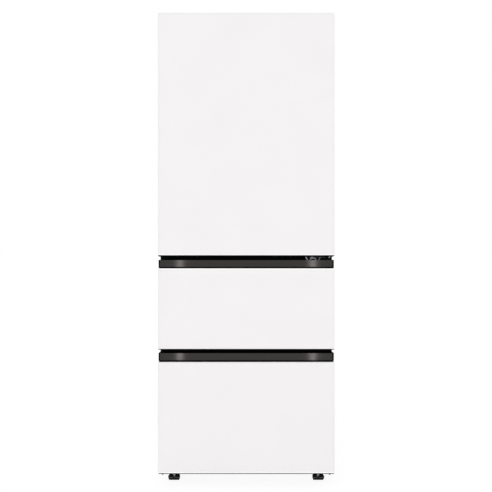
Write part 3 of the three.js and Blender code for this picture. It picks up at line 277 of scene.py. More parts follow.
def loft(bm, rings, close=False):
    """Faces between rings of as many points each. Its ends are capped, or joined where close is set."""
    rows = [[bm.verts.new(p) for p in ring] for ring in rings]
    pairs = list(zip(rows, rows[1:]))
    if close:
        pairs.append((rows[-1], rows[0]))
    count = len(rows[0])
    for low, high in pairs:
        for i in range(count):
            j = (i + 1) % count
            bm.faces.new((low[i], low[j], high[j], high[i]))
    if not close:
        bm.faces.new(rows[0])
        bm.faces.new(rows[-1])


def rect_loft(bm, axis, rect, stations, radius, steps=5, close=False):
    """A loft of rounded rectangles. A station is how far the rectangle is drawn in, as one number
    or as two for its two directions, and its height along the axis."""
    loft(bm, [rect_ring(axis, rect, h, inset[0], inset[-1], radius, steps)
              for *inset, h in stations], close)


def lathe(bm, axis, centre, profile, steps=24, close=False):
    """A turned piece from radius and height pairs."""
    turns = [2 * math.pi * step / steps for step in range(steps)]
    loft(bm, [[point(axis, centre[0] + r * math.cos(a), centre[1] + r * math.sin(a), h) for a in turns]
              for r, h in profile], close)


def add(bm, part, matrix=None):
    """Moves all of part into bm."""
    mesh = bpy.data.meshes.new("part")
    part.to_mesh(mesh)
    part.free()
    if matrix is not None:
        mesh.transform(matrix)
    bm.from_mesh(mesh)
    bpy.data.meshes.remove(mesh)


def round_edges(bm, edges, width, segments):
    bmesh.ops.bevel(bm, geom=edges, offset=width, segments=segments, profile=0.5, affect="EDGES")


def sharp_edges(bm, angle):
    return [e for e in bm.edges if e.calc_face_angle(0) > math.radians(angle)]


def block(bm, x0, x1, y0, y1, z0, z1, bevel=0.6, segments=2):
    """A box with rounded edges. The two values of x or y come in either order."""
    part = bmesh.new()
    bmesh.ops.create_cube(part, size=1)
    size = Vector((abs(x1 - x0), abs(y1 - y0), z1 - z0))
    middle = Vector((x1 + x0, y1 + y0, z1 + z0)) / 2
    part.transform(Matrix.Translation(middle) @ Matrix.Diagonal((*size, 1)))
    width = min(bevel, MOST_OF_SIDE * min(size))
    if width > 0:
        round_edges(part, part.edges[:], width, segments)
    add(bm, part)


def prism(bm, axis, outline, h0, h1, bevel=0.0):
    """A prism over an outline of u and v pairs, with its edges rounded."""
    part = bmesh.new()
    loft(part, [[point(axis, u, v, h) for u, v in outline] for h in (h0, h1)])
    if bevel:
        round_edges(part, sharp_edges(part, 25), bevel, 2)
    add(bm, part)


TUBE_SIDES = 10
TUBE_BEND = 12.0  # how far from a corner its bend starts
BEND_STEPS = 5


def tube(bm, points, radius):
    """A round tube along points, with its corners rounded."""
    points = [Vector(p) for p in points]
    path = [points[0]]
    for before, corner, after in zip(points, points[1:], points[2:]):
        reach = min(TUBE_BEND, *(MOST_OF_SIDE * (corner - p).length for p in (before, after)))
        start = corner + (before - corner).normalized() * reach
        end = corner + (after - corner).normalized() * reach
        for step in range(BEND_STEPS + 1):
            t = step / BEND_STEPS
            path.append(start * (1 - t) ** 2 + corner * 2 * t * (1 - t) + end * t ** 2)
    path.append(points[-1])
    side = (path[1] - path[0]).normalized().orthogonal().normalized()
    rings = []
    for index, p in enumerate(path):
        ahead = path[min(index + 1, len(path) - 1)] - path[max(index - 1, 0)]
        ahead.normalize()
        side = (side - ahead * side.dot(ahead)).normalized()
        up = ahead.cross(side)
        rings.append([p + (side * math.cos(a) + up * math.sin(a)) * radius
                      for a in (2 * math.pi * s / TUBE_SIDES for s in range(TUBE_SIDES))])
    loft(bm, rings)


SCREW_TALL = 2.4


def screw(bm, axis, centre, h, out, size, tall=SCREW_TALL):
    """A flanged hexagon-head screw; out is the side of the face at h that it stands on."""
    k = out * tall / SCREW_TALL
    lathe(bm, axis, centre, [(size, h), (size, h + k * 0.5), (size * 0.8, h + k * 0.8)], 16)
    hexagon = [(size * 0.68, h + k * 0.5), (size * 0.68, h + k * 2.0), (size * 0.56, h + k * 2.4)]
    lathe(bm, axis, centre, hexagon, 6)


def add_object(name, data):
    made = bpy.data.objects.new(name, data)
    bpy.context.scene.collection.objects.link(made)
    return made


def make(name, bm, finish, body="cabinet", nodes=(), sharp=35, zones=None):
    """Turns a mesh in millimetres into a piece that rides on a body and stands for CAD nodes.
    zones is a function of a face's middle that gives the finish of that face, or None."""
    bmesh.ops.recalc_face_normals(bm, faces=bm.faces[:])
    mesh = bpy.data.meshes.new(name)
    bm.to_mesh(mesh)
    bm.free()
    finishes = [finish]
    for polygon in mesh.polygons:
        polygon.use_smooth = True
        chosen = zones(polygon.center) if zones else None
        if chosen and chosen not in finishes:
            finishes.append(chosen)
        polygon.material_index = finishes.index(chosen) if chosen else 0
    for used in finishes:
        mesh.materials.append(material(used))
    mesh.transform(Matrix.Scale(MM, 4))
    mesh.set_sharp_from_angle(angle=math.radians(sharp))
    piece = add_object(name, mesh)
    piece.modifiers.new("normals", "WEIGHTED_NORMAL").keep_sharp = True
    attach(piece, body)
    if nodes:
        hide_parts(*nodes)


def screws(name, axis, centres, h, out, size, tall=SCREW_TALL, finish="zinc"):
    """The screws of one face of the cabinet."""
    bm = bmesh.new()
    for centre in centres:
        screw(bm, axis, centre, h, out, size, tall)
    make(name, bm, finish)


def dressed(node, finish, bevel=0.6, segments=2, change=None, angle=30, **more):
    """The CAD node's own form, its flat faces joined up and its edges rounded."""
    bm = bmesh.new()
    bm.from_mesh(NODES[node].data)
    bmesh.ops.transform(bm, matrix=Matrix.Scale(1 / MM, 4), verts=bm.verts[:])
    bmesh.ops.remove_doubles(bm, verts=bm.verts[:], dist=WELD)
    bmesh.ops.dissolve_limit(bm, angle_limit=math.radians(FLAT_ANGLE), verts=bm.verts[:],
                             edges=bm.edges[:])
    bmesh.ops.bevel(bm, geom=sharp_edges(bm, angle), offset=bevel, segments=segments, profile=0.5,
                    affect="EDGES", clamp_overlap=True)
    if change:
        change(bm)
    make(node + "_form", bm, finish, NODES[node]["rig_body"], [node], **more)


# -------- fronts

TRIM = 5.6  # width of the trim round each front panel
GROOVE = 0.7
PANEL_RADIUS = 3.0
# At the bottom and top of each front, the trim is given the painted highlight, the painted shade or no
# paint, as listed.
PANEL_EDGES = {"door_panel": ("edge_painted_highlight", "edge_painted_shade"), "middle_panel": (None, "edge_painted_highlight"),
               "lower_panel": ("edge_painted_highlight", None)}  # finish of the bottom and the top trim
PANEL_DROP = {"door_panel": (-0.45, 0), "middle_panel": (0.35, 0.3),
              "lower_panel": (0.7, 1.4)}  # how far these edges lie below the CAD's
LEDGE_BACK = -330  # the seen ledge of a front's body reaches back to here


def front_panel(node):
    """Flat field with a narrow grooved trim all round; the trim is painted grey at the sides as painted
    shade, and at the top and bottom it takes the listed painted highlight and painted shade.
    """
    x0, x1, y0, y1, z0, z1 = place(node)
    drop_bottom, drop_top = PANEL_DROP[node]
    z0, z1 = z0 - drop_bottom, z1 - drop_top
    bottom_edge, top_edge = PANEL_EDGES[node]
    stations = [(0, y1), (0, y0 + GROOVE), (0.1, y0 + 0.35), (0.3, y0 + 0.1), (0.6, y0), (TRIM, y0),
                (TRIM + 0.3, y0 + GROOVE), (TRIM + 1.5, y0 + GROOVE), (TRIM + 2.0, y0), (TRIM + 20, y0)]

    # The zones pick the trim faces that carry the painted shade and the painted highlight.
    def zone(c):
        across = min(c.z - z0, z1 - c.z)
        aside = min(c.x - x0, x1 - c.x)
        if min(across, aside) > TRIM + 0.1 or c.y > y1 - 0.5:
            return None
        if across > aside:
            return "edge_painted_shade"
        return bottom_edge if c.z - z0 < z1 - c.z else top_edge

    bm = bmesh.new()
    rect_loft(bm, "y", (x0, x1, z0, z1), stations, PANEL_RADIUS)
    make(node + "_face", bm, "panel", NODES[node]["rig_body"], [node], sharp=20, zones=zone)


END_CAP = 5.5
STRIP_INSET = 0.8  # of its ends, in the end caps
STRIP_LIFT = {"middle": 0.8, "lower": -0.3}  # of the top edge of each strip
STRIP_SINK = {"middle": 0.2, "lower": 1.8}  # of its bottom edge
RIB_PITCH = 54


def handle(name):
    """Brushed strip, its black end caps and the black ribbed tray behind it."""
    body = f"{name}_drawer"
    strip, housing = f"{name}_handle_strip", f"{name}_handle_housing"
    x0, x1, y0, y1, z0, z1 = place(strip)
    tray = place(housing)

    def fit(bm):
        for v in bm.verts:
            v.co.x = max(x0 + STRIP_INSET, min(x1 - STRIP_INSET, v.co.x))
            if v.co.z > z1 - 1.5:
                v.co.z += STRIP_LIFT[name]
            elif v.co.z < z0 + 1.5:
                v.co.z -= STRIP_SINK[name]

    dressed(strip, "strip", 0.7, 3, change=fit)
    dressed(housing, "recess", 0.8)
    bm = bmesh.new()
    for a, b in ((x0, x0 + END_CAP), (x1 - END_CAP, x1)):
        block(bm, a, b, y0 - 0.6, y1 + 0.2, tray.z0 + 0.2, z1 + 0.4 + STRIP_LIFT[name], 0.6, 3)
    if name == "middle":
        block(bm, x0 + 1, x1 - 1, y0 - 0.5, y0 + 1, z0 - 1.5, z0 + 1.0, 0.2)
    make(f"{name}_handle_end_caps", bm, "recess", body)
    bm = bmesh.new()
    for step in range(-5, 6):
        x = step * RIB_PITCH
        block(bm, x - 1, x + 1, tray.y1 - 11, tray.y1 - 4.8, tray.z0 + 3, tray.z1 - 5, 0.5)
    make(f"{name}_handle_ribs", bm, "recess", body)


WEDGES = {"door": [(-9, -1.2), (-6, -3.4), (-2, -2.6), (1.8, 0), (1.8, 12), (-1, 12), (-1, 1), (-9, 1)],
          "middle": [(-9, -2.4), (-5, -2.2), (-1, -1.7), (1.8, -1.3), (1.8, 4), (-9, 4)]}


def corner_wedges(front, body):
    """Small black wedges that close the lower corners of a front's body against its panel."""
    edge = place(f"{front}_body")
    bm = bmesh.new()
    for side in (-1, 1):
        outline = [(side * (edge.x1 + u), edge.z0 + v) for u, v in WEDGES[front]]
        prism(bm, "y", outline, edge.y0 + 0.2, edge.y0 + 9, 0.2)
    make(f"{front}_corner_wedges", bm, "recess", body)


for panel in PANEL_DROP:
    front_panel(panel)
# The ledge zone of each body takes a painted-shade copy of the body colour; the lower one takes a
# painted-light copy.
for front, ledge in (("door_body", "ledge"), ("middle_body", "ledge"), ("lower_body", "painted_light_ledge")):
    top = place(front).z1
    dressed(front, "body", 0.7, zones=lambda c: ledge if c.z > top - 2 and c.y < LEDGE_BACK else None)
for drawer in ("middle", "lower"):
    handle(drawer)
corner_wedges("door", "upper_door")
corner_wedges("middle", "middle_drawer")

# -------- cabinet shell

CASE_SHEET = 1.2
CASE_RADIUS = 5.0
CASE_FLANGE = 15
CASE_GROOVE = 0.45
SHEET_Y = 366.3  # outer face of the back sheet, inside the rear flange of the case
SCREW_PITCH = 240
BOARD_GAP = 0.6  # round the board box in the back sheet
BLADE_TILT = 38
BLADE_PITCH = 18


def arc(cu, cv, radius, start, steps=6):
    return [(cu + radius * math.cos(a), cv + radius * math.sin(a))
            for a in (math.radians(start - 90 * s / steps) for s in range(steps + 1))]


def hoop(half, low, top, r):
    """Up one side, across the top and down the other side."""
    return [(-half, low), *arc(-half + r, top - r, r, 180), *arc(half - r, top - r, r, 90), (half, low)]


def outer_case():
    """Side and top sheets bent from one piece, open below, with rolled front and rear edges."""
    _, x1, y0, y1, z0, z1 = place("outer_case")

    def outline(inset, y):
        points = []
        for depth in (inset, CASE_SHEET + inset * 0.2):
            path = hoop(x1 - depth, z0, z1 - depth, CASE_RADIUS - depth)
            points += path if depth == inset else path[::-1]
        return [point("y", u, v, y) for u, v in points]

    g = CASE_GROOVE
    stations = [(0.9, y0), (0.25, y0 + 0.3), (0, y0 + 1.0), (0, y0 + 13), (g, y0 + 13.6), (g, y0 + 15),
                (0, y0 + 15.6), (0, y1 - 22.6), (g, y1 - 22), (g, y1 - 20.6), (0, y1 - 20), (0, y1 - 1.0),
                (0.25, y1 - 0.3), (0.9, y1)]
    bm = bmesh.new()
    loft(bm, [outline(inset, y) for inset, y in stations])
    outer, low, inner, under = y1 - 1.5, z0 + 2, x1 - CASE_FLANGE, z1 - CASE_FLANGE
    rolled = hoop(x1 - 1, low, z1 - 1, CASE_RADIUS - 1)
    rolled += [(inner, low), (inner, under), (-inner, under), (-inner, low)]
    prism(bm, "y", rolled, outer - 0.7, outer)
    make("outer_case_shell", bm, "case", nodes=["outer_case"])
    screws("outer_case_screws", "y", product((8 - x1, x1 - 8), (430, 990, 1550)), outer, 1, 2.6, 1.5)


def back_panel():
    """Back sheet with raised beads, its screws and the plugs of the foam filling holes."""
    x0, x1, _, _, z0, z1 = place("back_panel")
    bx0, bx1, _, _, bz0, bz1 = place("control_board_box")
    y = SHEET_Y
    low, high, left, right = bz0 - BOARD_GAP, bz1 + BOARD_GAP, bx0 - BOARD_GAP, bx1 + BOARD_GAP
    bm = bmesh.new()
    for a, b, c, d in ((x0, x1, z0, low), (x0, x1, high, z1), (x0, left, low, high),
                       (right, x1, low, high)):
        block(bm, a, b, y - 0.9, y, c, d, 0)
    bead = [(0, y - 0.2), (2.5, y + 1.4), (4, y + 1.8), (10, y + 1.8), (11.5, y + 1.4), (14, y - 0.2)]
    rect_loft(bm, "y", (x0 + 36, x1 - 36, z0 + 36, bz0 - 30), bead, 26, 6, close=True)
    for x in range(-232, 233, 58):
        rect_loft(bm, "y", (x - 7, x + 7, z0 + 84, bz0 - 78),
                  [(0, y - 0.2), (1.5, y + 0.9), (3.5, y + 1.5), (6, y + 1.7)], 7)
    for a, b in ((-290, -130), (130, 290)):
        rect_loft(bm, "y", (a, b, bz0 - 4, z1 - 40), bead, 20, 6, close=True)
    make("back_panel_sheet", bm, "steel", nodes=["back_panel"])
    rows = math.ceil((z1 - z0 - 34) / SCREW_PITCH)
    centres = [(x, z0 + 14 + SCREW_PITCH * row) for row in range(rows) for x in (x0 + 22, x1 - 22)]
    centres += [(x, z1 - 22) for x in range(-240, 241, 160)]
    screws("back_panel_screws", "y", centres, y, 1, 3.2, 2.0)
    bm = bmesh.new()
    plug = [(21, y - 0.2), (21, y + 0.8), (19.5, y + 1.5), (15, y + 1.5), (14.2, y + 0.7), (1, y + 0.7)]
    for side in (-1, 1):
        lathe(bm, "y", (side * 210, (bz0 + bz1) / 2 + 15), plug, 32)
    make("foam_plugs", bm, "black")


def board_box():
    """Lidded steel box of the control board, with louvre hoods, screws and the grommet of its lead."""
    x0, x1, y0, y1, z0, z1 = place("control_board_box")
    top = y1 - 1.4
    bm = bmesh.new()
    rect_loft(bm, "y", (x0, x1, z0, z1),
              [(0, y0), (0, top - 0.8), (0.3, top - 0.3), (1, top), (7, top), (7.4, top - 0.8),
               (8.4, top - 0.8), (8.8, top), (30, top)], 4)
    hood = [(0, top - 0.2), (0.4, top + 0.8), (1.6, top + 1.3)]
    for row, x in product(range(6), (-38, 38)):
        z = z0 + 26 + row * 9
        rect_loft(bm, "y", (x - 27, x + 27, z, z + 5), hood, 2.5, 4)
    make("control_board_box_lid", bm, "steel", nodes=["control_board_box"])
    corners = product((x0 + 15, x1 - 15), (z0 + 15, z1 - 15))
    screws("control_board_box_screws", "y", corners, top - 1.1, 1, 3.2)
    bm = bmesh.new()
    lathe(bm, "y", (60, z1 - 26),
          [(9, top - 1), (9, top + 0.9), (7, top + 1.3), (4.4, top + 0.4), (4, top - 3)])
    make("control_board_grommet", bm, "rubber")


def machine_cover():
    """Louvred cover with a pressed frame, blades behind its slots, screws and the inlet's grommet."""
    x0, x1, y0, y1, z0, z1 = place("machine_cover")

    def set_in(bm):
        for v in bm.verts:
            v.co += Vector((0, -1.2, 0))

    dressed("machine_cover", "steel", 0.25, 1, change=set_in)
    face = y1 - 1.2
    middle = (z0 + z1) / 2
    bm = bmesh.new()
    for x in (-115, 115):
        for row in range(8):
            blade = bmesh.new()
            block(blade, -94, 94, -5.5, 5.5, -0.5, 0.5, 0.3)
            add(bm, blade, Matrix.Translation((x, face - 3.6, middle - 63 + BLADE_PITCH * row))
                @ Matrix.Rotation(math.radians(BLADE_TILT), 4, "X"))
        rect_loft(bm, "y", (x - 105, x + 105, middle - 78, middle + 78),
                  [(0, face - 0.2), (1.5, face + 0.8), (4, face + 0.8), (5.5, face - 0.2)], 9, close=True)
    make("machine_cover_blades", bm, "steel")
    centres = product((x0 + 22, x0 + 240, x1 - 240, x1 - 22), (z0 + 12, z1 - 12))
    screws("machine_cover_screws", "y", centres, face, 1, 3.2, 1.2)
    x0, x1, y0, y1, z0, z1 = place("cord_inlet")
    outer = (x1 - x0) / 2
    bm = bmesh.new()
    lathe(bm, "y", ((x0 + x1) / 2, (z0 + z1) / 2),
          [(4.5, y0), (outer, y0), (outer, y0 + 9), (12.4, y0 + 12), (12.4, face + 0.1), (14.5, face + 0.2),
           (14.5, face + 0.8), (13, y1), (7.2, y1), (5.4, y1 - 0.8), (4.5, y1 - 2.5)], 32, close=True)
    make("cord_inlet_grommet", bm, "rubber", nodes=["cord_inlet"])


def foam():
    """Its rear face is drawn in to the back sheet."""
    def draw_in(bm):
        for v in bm.verts:
            v.co.y = min(v.co.y, SHEET_Y - 1.2)

    dressed("cabinet_foam", "foam", 0.8, 1, change=draw_in)


def hinge_cover():
    x0, x1, y0, y1, z0, z1 = place("top_hinge_cover")
    bm = bmesh.new()
    rect_loft(bm, "z", (x0, x1, y0, y1),
              [(0, z0), (0, z1 - 7), (0.6, z1 - 4), (2.2, z1 - 1.8), (5, z1 - 0.4), (9, z1), (14, z1),
               (14.6, z1 - 0.6), (16, z1 - 0.6), (16.6, z1)], 12, 8)
    make("top_hinge_cover_cap", bm, "black", nodes=["top_hinge_cover"])
    centres = product((x0 + 32, x1 - 32), ((y0 + y1) / 2 + 18,))
    screws("top_hinge_cover_screws", "z", centres, z1 - 2.3, 1, 3.4)
    dressed("top_hinge", "zinc", 0.5)


outer_case()
back_panel()
board_box()
machine_cover()
foam()
hinge_cover()
dressed("base_plate", "zinc", 0.3, 1)

# -------- front bars and middle hinge

for bar in ("upper_mullion", "lower_mullion"):
    x0, x1, y0, _, z0, _ = place(bar)
    dressed(bar, "bar", 0.5)
    centres = product((x0 + 20, x0 + 60, x1 - 60, x1 - 20), (z0 + 12,))
    screws(bar + "_screws", "y", centres, y0 + 0.1, -1, 3.4, finish="bar")

# The hinge's small parts in x and z: each flange's ends and half width, then the tab and the dome. Their
# light colours are painted highlights of the hinge's edges and of the dome's rim, which is drawn as a
# crescent.
HINGE_FLANGE_HIGHLIGHTS = (((237.6, 853.4), (229.6, 866.0), 2.1), ((279.8, 853.4), (286.4, 863.8), 1.1))
HINGE_TAB_HIGHLIGHT = [(313.8, 862.4), (319.4, 862.4), (321.4, 869.6), (317.4, 869.6)]
HINGE_DOME_HIGHLIGHT = [
    (245.4, 853.6), (246.4, 860.2), (248.6, 864.4), (251.6, 866.4), (255.4, 866.6), (259.2, 865.2),
    (263.0, 863.4), (267.4, 861.6), (270.4, 859.2), (271.8, 853.6), (267.6, 853.6), (264.5, 856.6),
    (259.5, 858.2), (254.5, 858.2), (251.0, 856.8), (249.4, 853.6)]


def middle_hinge():
    """Hinge plate, the leaf on top, and painted highlights: light flange lines, a crescent on the domed
    cover of its cam, its tab and a grey strip along the fold.
    """
    _, x1, y0, y1, _, _ = place("middle_hinge")
    dressed("middle_hinge", "hinge", 0.4)
    rear = y1 - 3.4
    bm = bmesh.new()
    for (a, za), (b, zb), half in HINGE_FLANGE_HIGHLIGHTS:
        outline = [(a - half, za), (a + half, za), (b + half, zb), (b - half, zb)]
        prism(bm, "y", outline, y1 - 9, rear, 0.3)
    make("middle_hinge_flange_highlights", bm, "hinge_highlight_paint")
    bm = bmesh.new()
    prism(bm, "y", HINGE_TAB_HIGHLIGHT, y0 - 1.4, y0 + 1.5, 0.4)
    prism(bm, "y", HINGE_DOME_HIGHLIGHT, y1 - 10, rear, 0.6)
    make("middle_hinge_cam", bm, "hinge_cam_highlight")
    bm = bmesh.new()
    block(bm, 227, 302, y0 + 5, y1 - 0.5, 867.6, 869.7, 0.8, 3)
    for x in (240, 268, 291):
        screw(bm, "z", (x, (y0 + y1) / 2 + 2), 868.9, 1, 3.4, 1.3)
    make("middle_hinge_leaf", bm, "hinge")
    bm = bmesh.new()
    # A grey strip along the plate's edge: a painted highlight.
    block(bm, 264, x1 - 1, y1 - 6, rear, 862.6, 866.0, 0.4)
    make("middle_hinge_edge_highlight", bm, "hinge_edge_highlight")


middle_hinge()

# -------- rooms

CORNER = 10  # radius of a room's corners
ROOMS = {"upper": (898.5, 1710.0, 302.5), "middle": (546.0, 797.5, 302.5),
         "lower": (77.5, 445.0, 113.5)}  # floor, ceiling and back wall
ROOM_HALF = 278.0
WALL = 2.0
MOUTH = 2.5  # radius of the rolled mouth


def tub(name):
    """Moulded liner: rounded room, rolled mouth and the flat flange round it."""
    low, high, back = ROOMS[name]
    x0, x1, y0, _, z0, z1 = place(f"{name}_liner")
    room = (-ROOM_HALF, ROOM_HALF, low, high)
    flange = (x0, x1, z0, z1)
    inside = [(CORNER * (1 - math.sin(a)), back - CORNER * (1 - math.cos(a))) for a in quarter(4)]
    inside += [(-MOUTH * (1 - math.cos(a)), y0 + MOUTH * (1 - math.sin(a))) for a in quarter(3)]
    edge = [(0.4, y0), (0, y0 + 0.4), (0, y0 + WALL)]
    outside = [(-WALL, y0 + WALL + 0.2), (-WALL, back + WALL)]
    bm = bmesh.new()
    loft(bm, [rect_ring("y", rect, y, inset, inset, radius)
              for rect, radius, stations in ((room, CORNER, inside), (flange, 1.5, edge),
                                             (room, CORNER, outside))
              for inset, y in stations])
    if name == "upper":
        for index, side in product((1, 2, 3), (-1, 1)):
            glass = place(f"shelf_{index}")
            top = glass.z1 - 5.3
            block(bm, side * 266, side * (ROOM_HALF + 0.5), glass.y0 + 9.3, back - 2, top - 8, top, 2, 3)
    make(f"{name}_liner_tub", bm, "liner", nodes=[f"{name}_liner"])


for room_name in ROOMS:
    tub(room_name)


def shelf(index):
    node = f"shelf_{index}"
    x0, x1, y0, y1, z0, z1 = place(node)
    bm = bmesh.new()
    block(bm, x0 + 6, x1 - 6, y0 + 5, y1 - 4, z1 - 4.5, z1 - 0.5, 0.6)
    make(f"{node}_pane", bm, "glass", nodes=[node])
    bm = bmesh.new()
    block(bm, x0, x1, y0 + 0.5, y0 + 9.3, z0, z1, 2.4, 4)
    block(bm, x0, x1, y1 - 9, y1, z1 - 6.5, z1, 1.5, 3)
    for a, b in ((x0, x0 + 10), (x1 - 10, x1)):
        block(bm, a, b, y0 + 6, y1 - 6, z1 - 5, z1, 0.8)
    make(f"{node}_frame", bm, "bin")
    bm = bmesh.new()
    block(bm, x0 + 8, x1 - 8, y0, y0 + 2, z0 + 3.5, z0 + 10.5, 0.7, 3)
    make(f"{node}_front_line", bm, "steel")


GRILLE_X = 100
GRILLE_DROP = 41  # below the shelf that it stands under
KEY_PITCH = 34


def duct():
    _, _, y0, _, z0, z1 = place("duct_cover")
    dressed("duct_cover", "liner", 1.6, 3)
    bm = bmesh.new()
    slots = [place(f"shelf_{index}").z0 - GRILLE_DROP for index in (1, 2, 3)]
    slots.append(2 * slots[2] - slots[1])
    rim = [(0, y0 + 0.3), (0.5, y0 - 0.5), (1.2, y0 - 0.8), (2.6, y0 - 0.8), (3.4, y0 + 0.3)]
    for z, middle in product(slots, (-GRILLE_X, GRILLE_X)):
        for x in range(middle - 48, middle + 49, 12):
            block(bm, x - 0.8, x + 0.8, y0 + 0.3, y0 + 2.3, z - 10.2, z + 0.2, 0.4)
        rect_loft(bm, "y", (middle - 64, middle + 64, z - 14, z + 4), rim, 4, 4, close=True)
    rect_loft(bm, "y", (-9, 9, z0 + 40, z1 - 120),
              [(0, y0 + 0.2), (1, y0 - 0.6), (3, y0 - 1.2), (8, y0 - 1.4)], 8, 6)
    make("duct_cover_grilles", bm, "liner")
    bm = bmesh.new()
    middle = z1 - 70
    lathe(bm, "y", (0, middle), [(36, y0 + 0.3), (36, y0 - 0.8), (34, y0 - 2), (26, y0 - 2.2),
                                 (25, y0 - 1), (8, y0 - 1), (7, y0 - 2.2), (1, y0 - 2.4)], 40)
    for step in range(12):
        spoke = bmesh.new()
        block(spoke, 9, 24, -0.6, 0.6, -0.9, 0.9, 0.3)
        add(bm, spoke, Matrix.Translation((0, y0 - 1.3, middle))
            @ Matrix.Rotation(math.radians(30 * step), 4, "Y"))
    make("air_filter_cap", bm, "container")


def control_panel():
    """Glossy touch panel under the ceiling, with plain key rings, signs and a row of level dots."""
    x0, x1, y0, y1, z0, z1 = place("control_panel")
    bm = bmesh.new()
    rect_loft(bm, "z", (x0, x1, y0, y1),
              [(5, z1), (0, z1), (0, z1 - 2), (1.2, z0 + 1), (2.6, z0 + 0.2), (4, z0)], 9, 8)
    make("control_panel_face", bm, "control", nodes=["control_panel"])
    bm = bmesh.new()
    y = (y0 + y1) / 2
    low, high = z0 - 0.12, z0 + 0.1
    ring = [(8.2, low), (8.2, high), (7.4, high), (7.4, low)]
    for step in range(-2, 3):
        lathe(bm, "z", (step * KEY_PITCH, y), ring, 32, close=True)
    for step, wide, deep in ((-2, 3.5, 0.5), (1, 3.5, 0.5), (1, 0.5, 3.5)):
        x = step * KEY_PITCH
        block(bm, x - wide, x + wide, y - deep, y + deep, low, high, 0)
    lathe(bm, "z", (2 * KEY_PITCH, y), [(3.4, low), (3.4, high), (2.6, high), (2.6, low)], close=True)
    lathe(bm, "z", (0, y), [(1.4, low), (1.4, high)], 16)
    for x in range(-24, 25, 8):
        lathe(bm, "z", (x, y - 17), [(1.0, low), (1.0, high)], 12)
    make("control_panel_marks", bm, "marks")


for number in (1, 2, 3):
    shelf(number)
duct()
control_panel()
dressed("lamp_lens", "lamp", 1.8, 3)
dressed("evaporator", "fins", 0.2, 1)

# -------- inside of the upper door

RIDGE_HALF = 268
RIDGE_WIDTH = 24
RIDGE_RADIUS = 8


def gasket(node):
    """Magnetic seal: flat foot, folded bellows and a bead that meets the cabinet."""
    x0, x1, y0, _, z0, z1 = place(node)
    fold = [(0, 0), (18, 0), (18, 1.4), (13.5, 2.0), (13.5, 3.0), (17.4, 3.7), (17.4, 6.6), (16.6, 7.5),
            (1.4, 7.5), (0.6, 6.6), (0.6, 3.8), (4.2, 3.1), (4.2, 2.1), (0, 1.4)]
    bm = bmesh.new()
    rect_loft(bm, "y", (x0, x1, z0, z1), [(d, y0 + h) for d, h in fold], 9, close=True)
    make(node + "_seal", bm, "gasket", NODES[node]["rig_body"], [node])


def door_liner():
    x0, x1, y0, y1, z0, z1 = place("door_liner")
    face = y0 + 2
    ridge = (-RIDGE_HALF, RIDGE_HALF, ROOMS["upper"][0] + 10, ROOMS["upper"][1] - 10)
    bm = bmesh.new()
    rect_loft(bm, "y", (x0, x1, z0, z1), [(0, y0), (0, face - 0.6), (0.6, face), (40, face)], 6)
    r = RIDGE_RADIUS
    stations = [(0, face - 0.4), (0, y1 - r)]
    stations += [(r * (1 - math.cos(a)), y1 - r * (1 - math.sin(a))) for a in quarter(5)[1:]]
    stations += [(RIDGE_WIDTH - r * (1 - math.sin(a)), y1 - r * (1 - math.cos(a)))
                 for a in quarter(5)[:-1]]
    stations += [(RIDGE_WIDTH, y1 - r), (RIDGE_WIDTH, face - 0.4)]
    rect_loft(bm, "y", ridge, stations, 26, 8, close=True)
    inner = RIDGE_HALF - RIDGE_WIDTH
    for index in (1, 2, 3):
        low = place(f"door_bin_{index}").z0
        for side in (-1, 1):
            block(bm, side * (inner + 0.5), side * (inner - 14), face - 0.5, face + 36, low - 12.3,
                  low - 0.3, 3, 3)
        rect_loft(bm, "y", (-200, 200, low + 100, low + 190),
                  [(0, face - 0.2), (2, face + 0.9), (4, face + 1.2), (9, face + 1.2), (11, face + 0.9),
                   (13, face - 0.2)], 18, 6, close=True)
    make("door_liner_moulding", bm, "liner", "upper_door", ["door_liner"])


def door_bin(index):
    node = f"door_bin_{index}"
    x0, x1, y0, y1, z0, z1 = place(node)
    stations = [(8, z0), (3, z0 + 0.3), (0.8, z0 + 1.6), (0, z0 + 4), (0, z1 - 12), (0, z1 - 0.9),
                (0.5, z1), (3.4, z1), (4.0, z1 - 0.9), (3.4, z1 - 8), (2.5, z1 - 12), (2.5, z0 + 6),
                (3.6, z0 + 3.4), (6, z0 + 2.5), (9, z0 + 2.5)]
    bm = bmesh.new()
    rect_loft(bm, "z", (x0, x1, y0, y1), stations, 16, 7)
    for x in range(-204, 205, 34):
        block(bm, x - 1, x + 1, y0 + 10, y1 - 10, z0 + 2.3, z0 + 3.6, 0.5)
    make(f"{node}_tray", bm, "clear", "upper_door", [node])
    bm = bmesh.new()
    block(bm, x0 + 20, x1 - 20, y1 - 1.2, y1 + 0.6, z1 - 17, z1 - 3, 0.7, 3)
    make(f"{node}_band", bm, "bin", "upper_door")
    bm = bmesh.new()
    block(bm, 60, 64, y0 + 4, y1 - 4, z0 + 3, z0 + 58, 1.4, 3)
    make(f"{node}_divider", bm, "clear", "upper_door")


for seal in ("door_gasket", "middle_gasket", "lower_gasket"):
    gasket(seal)
door_liner()
for number in (1, 2, 3):
    door_bin(number)

# -------- inside of the drawers


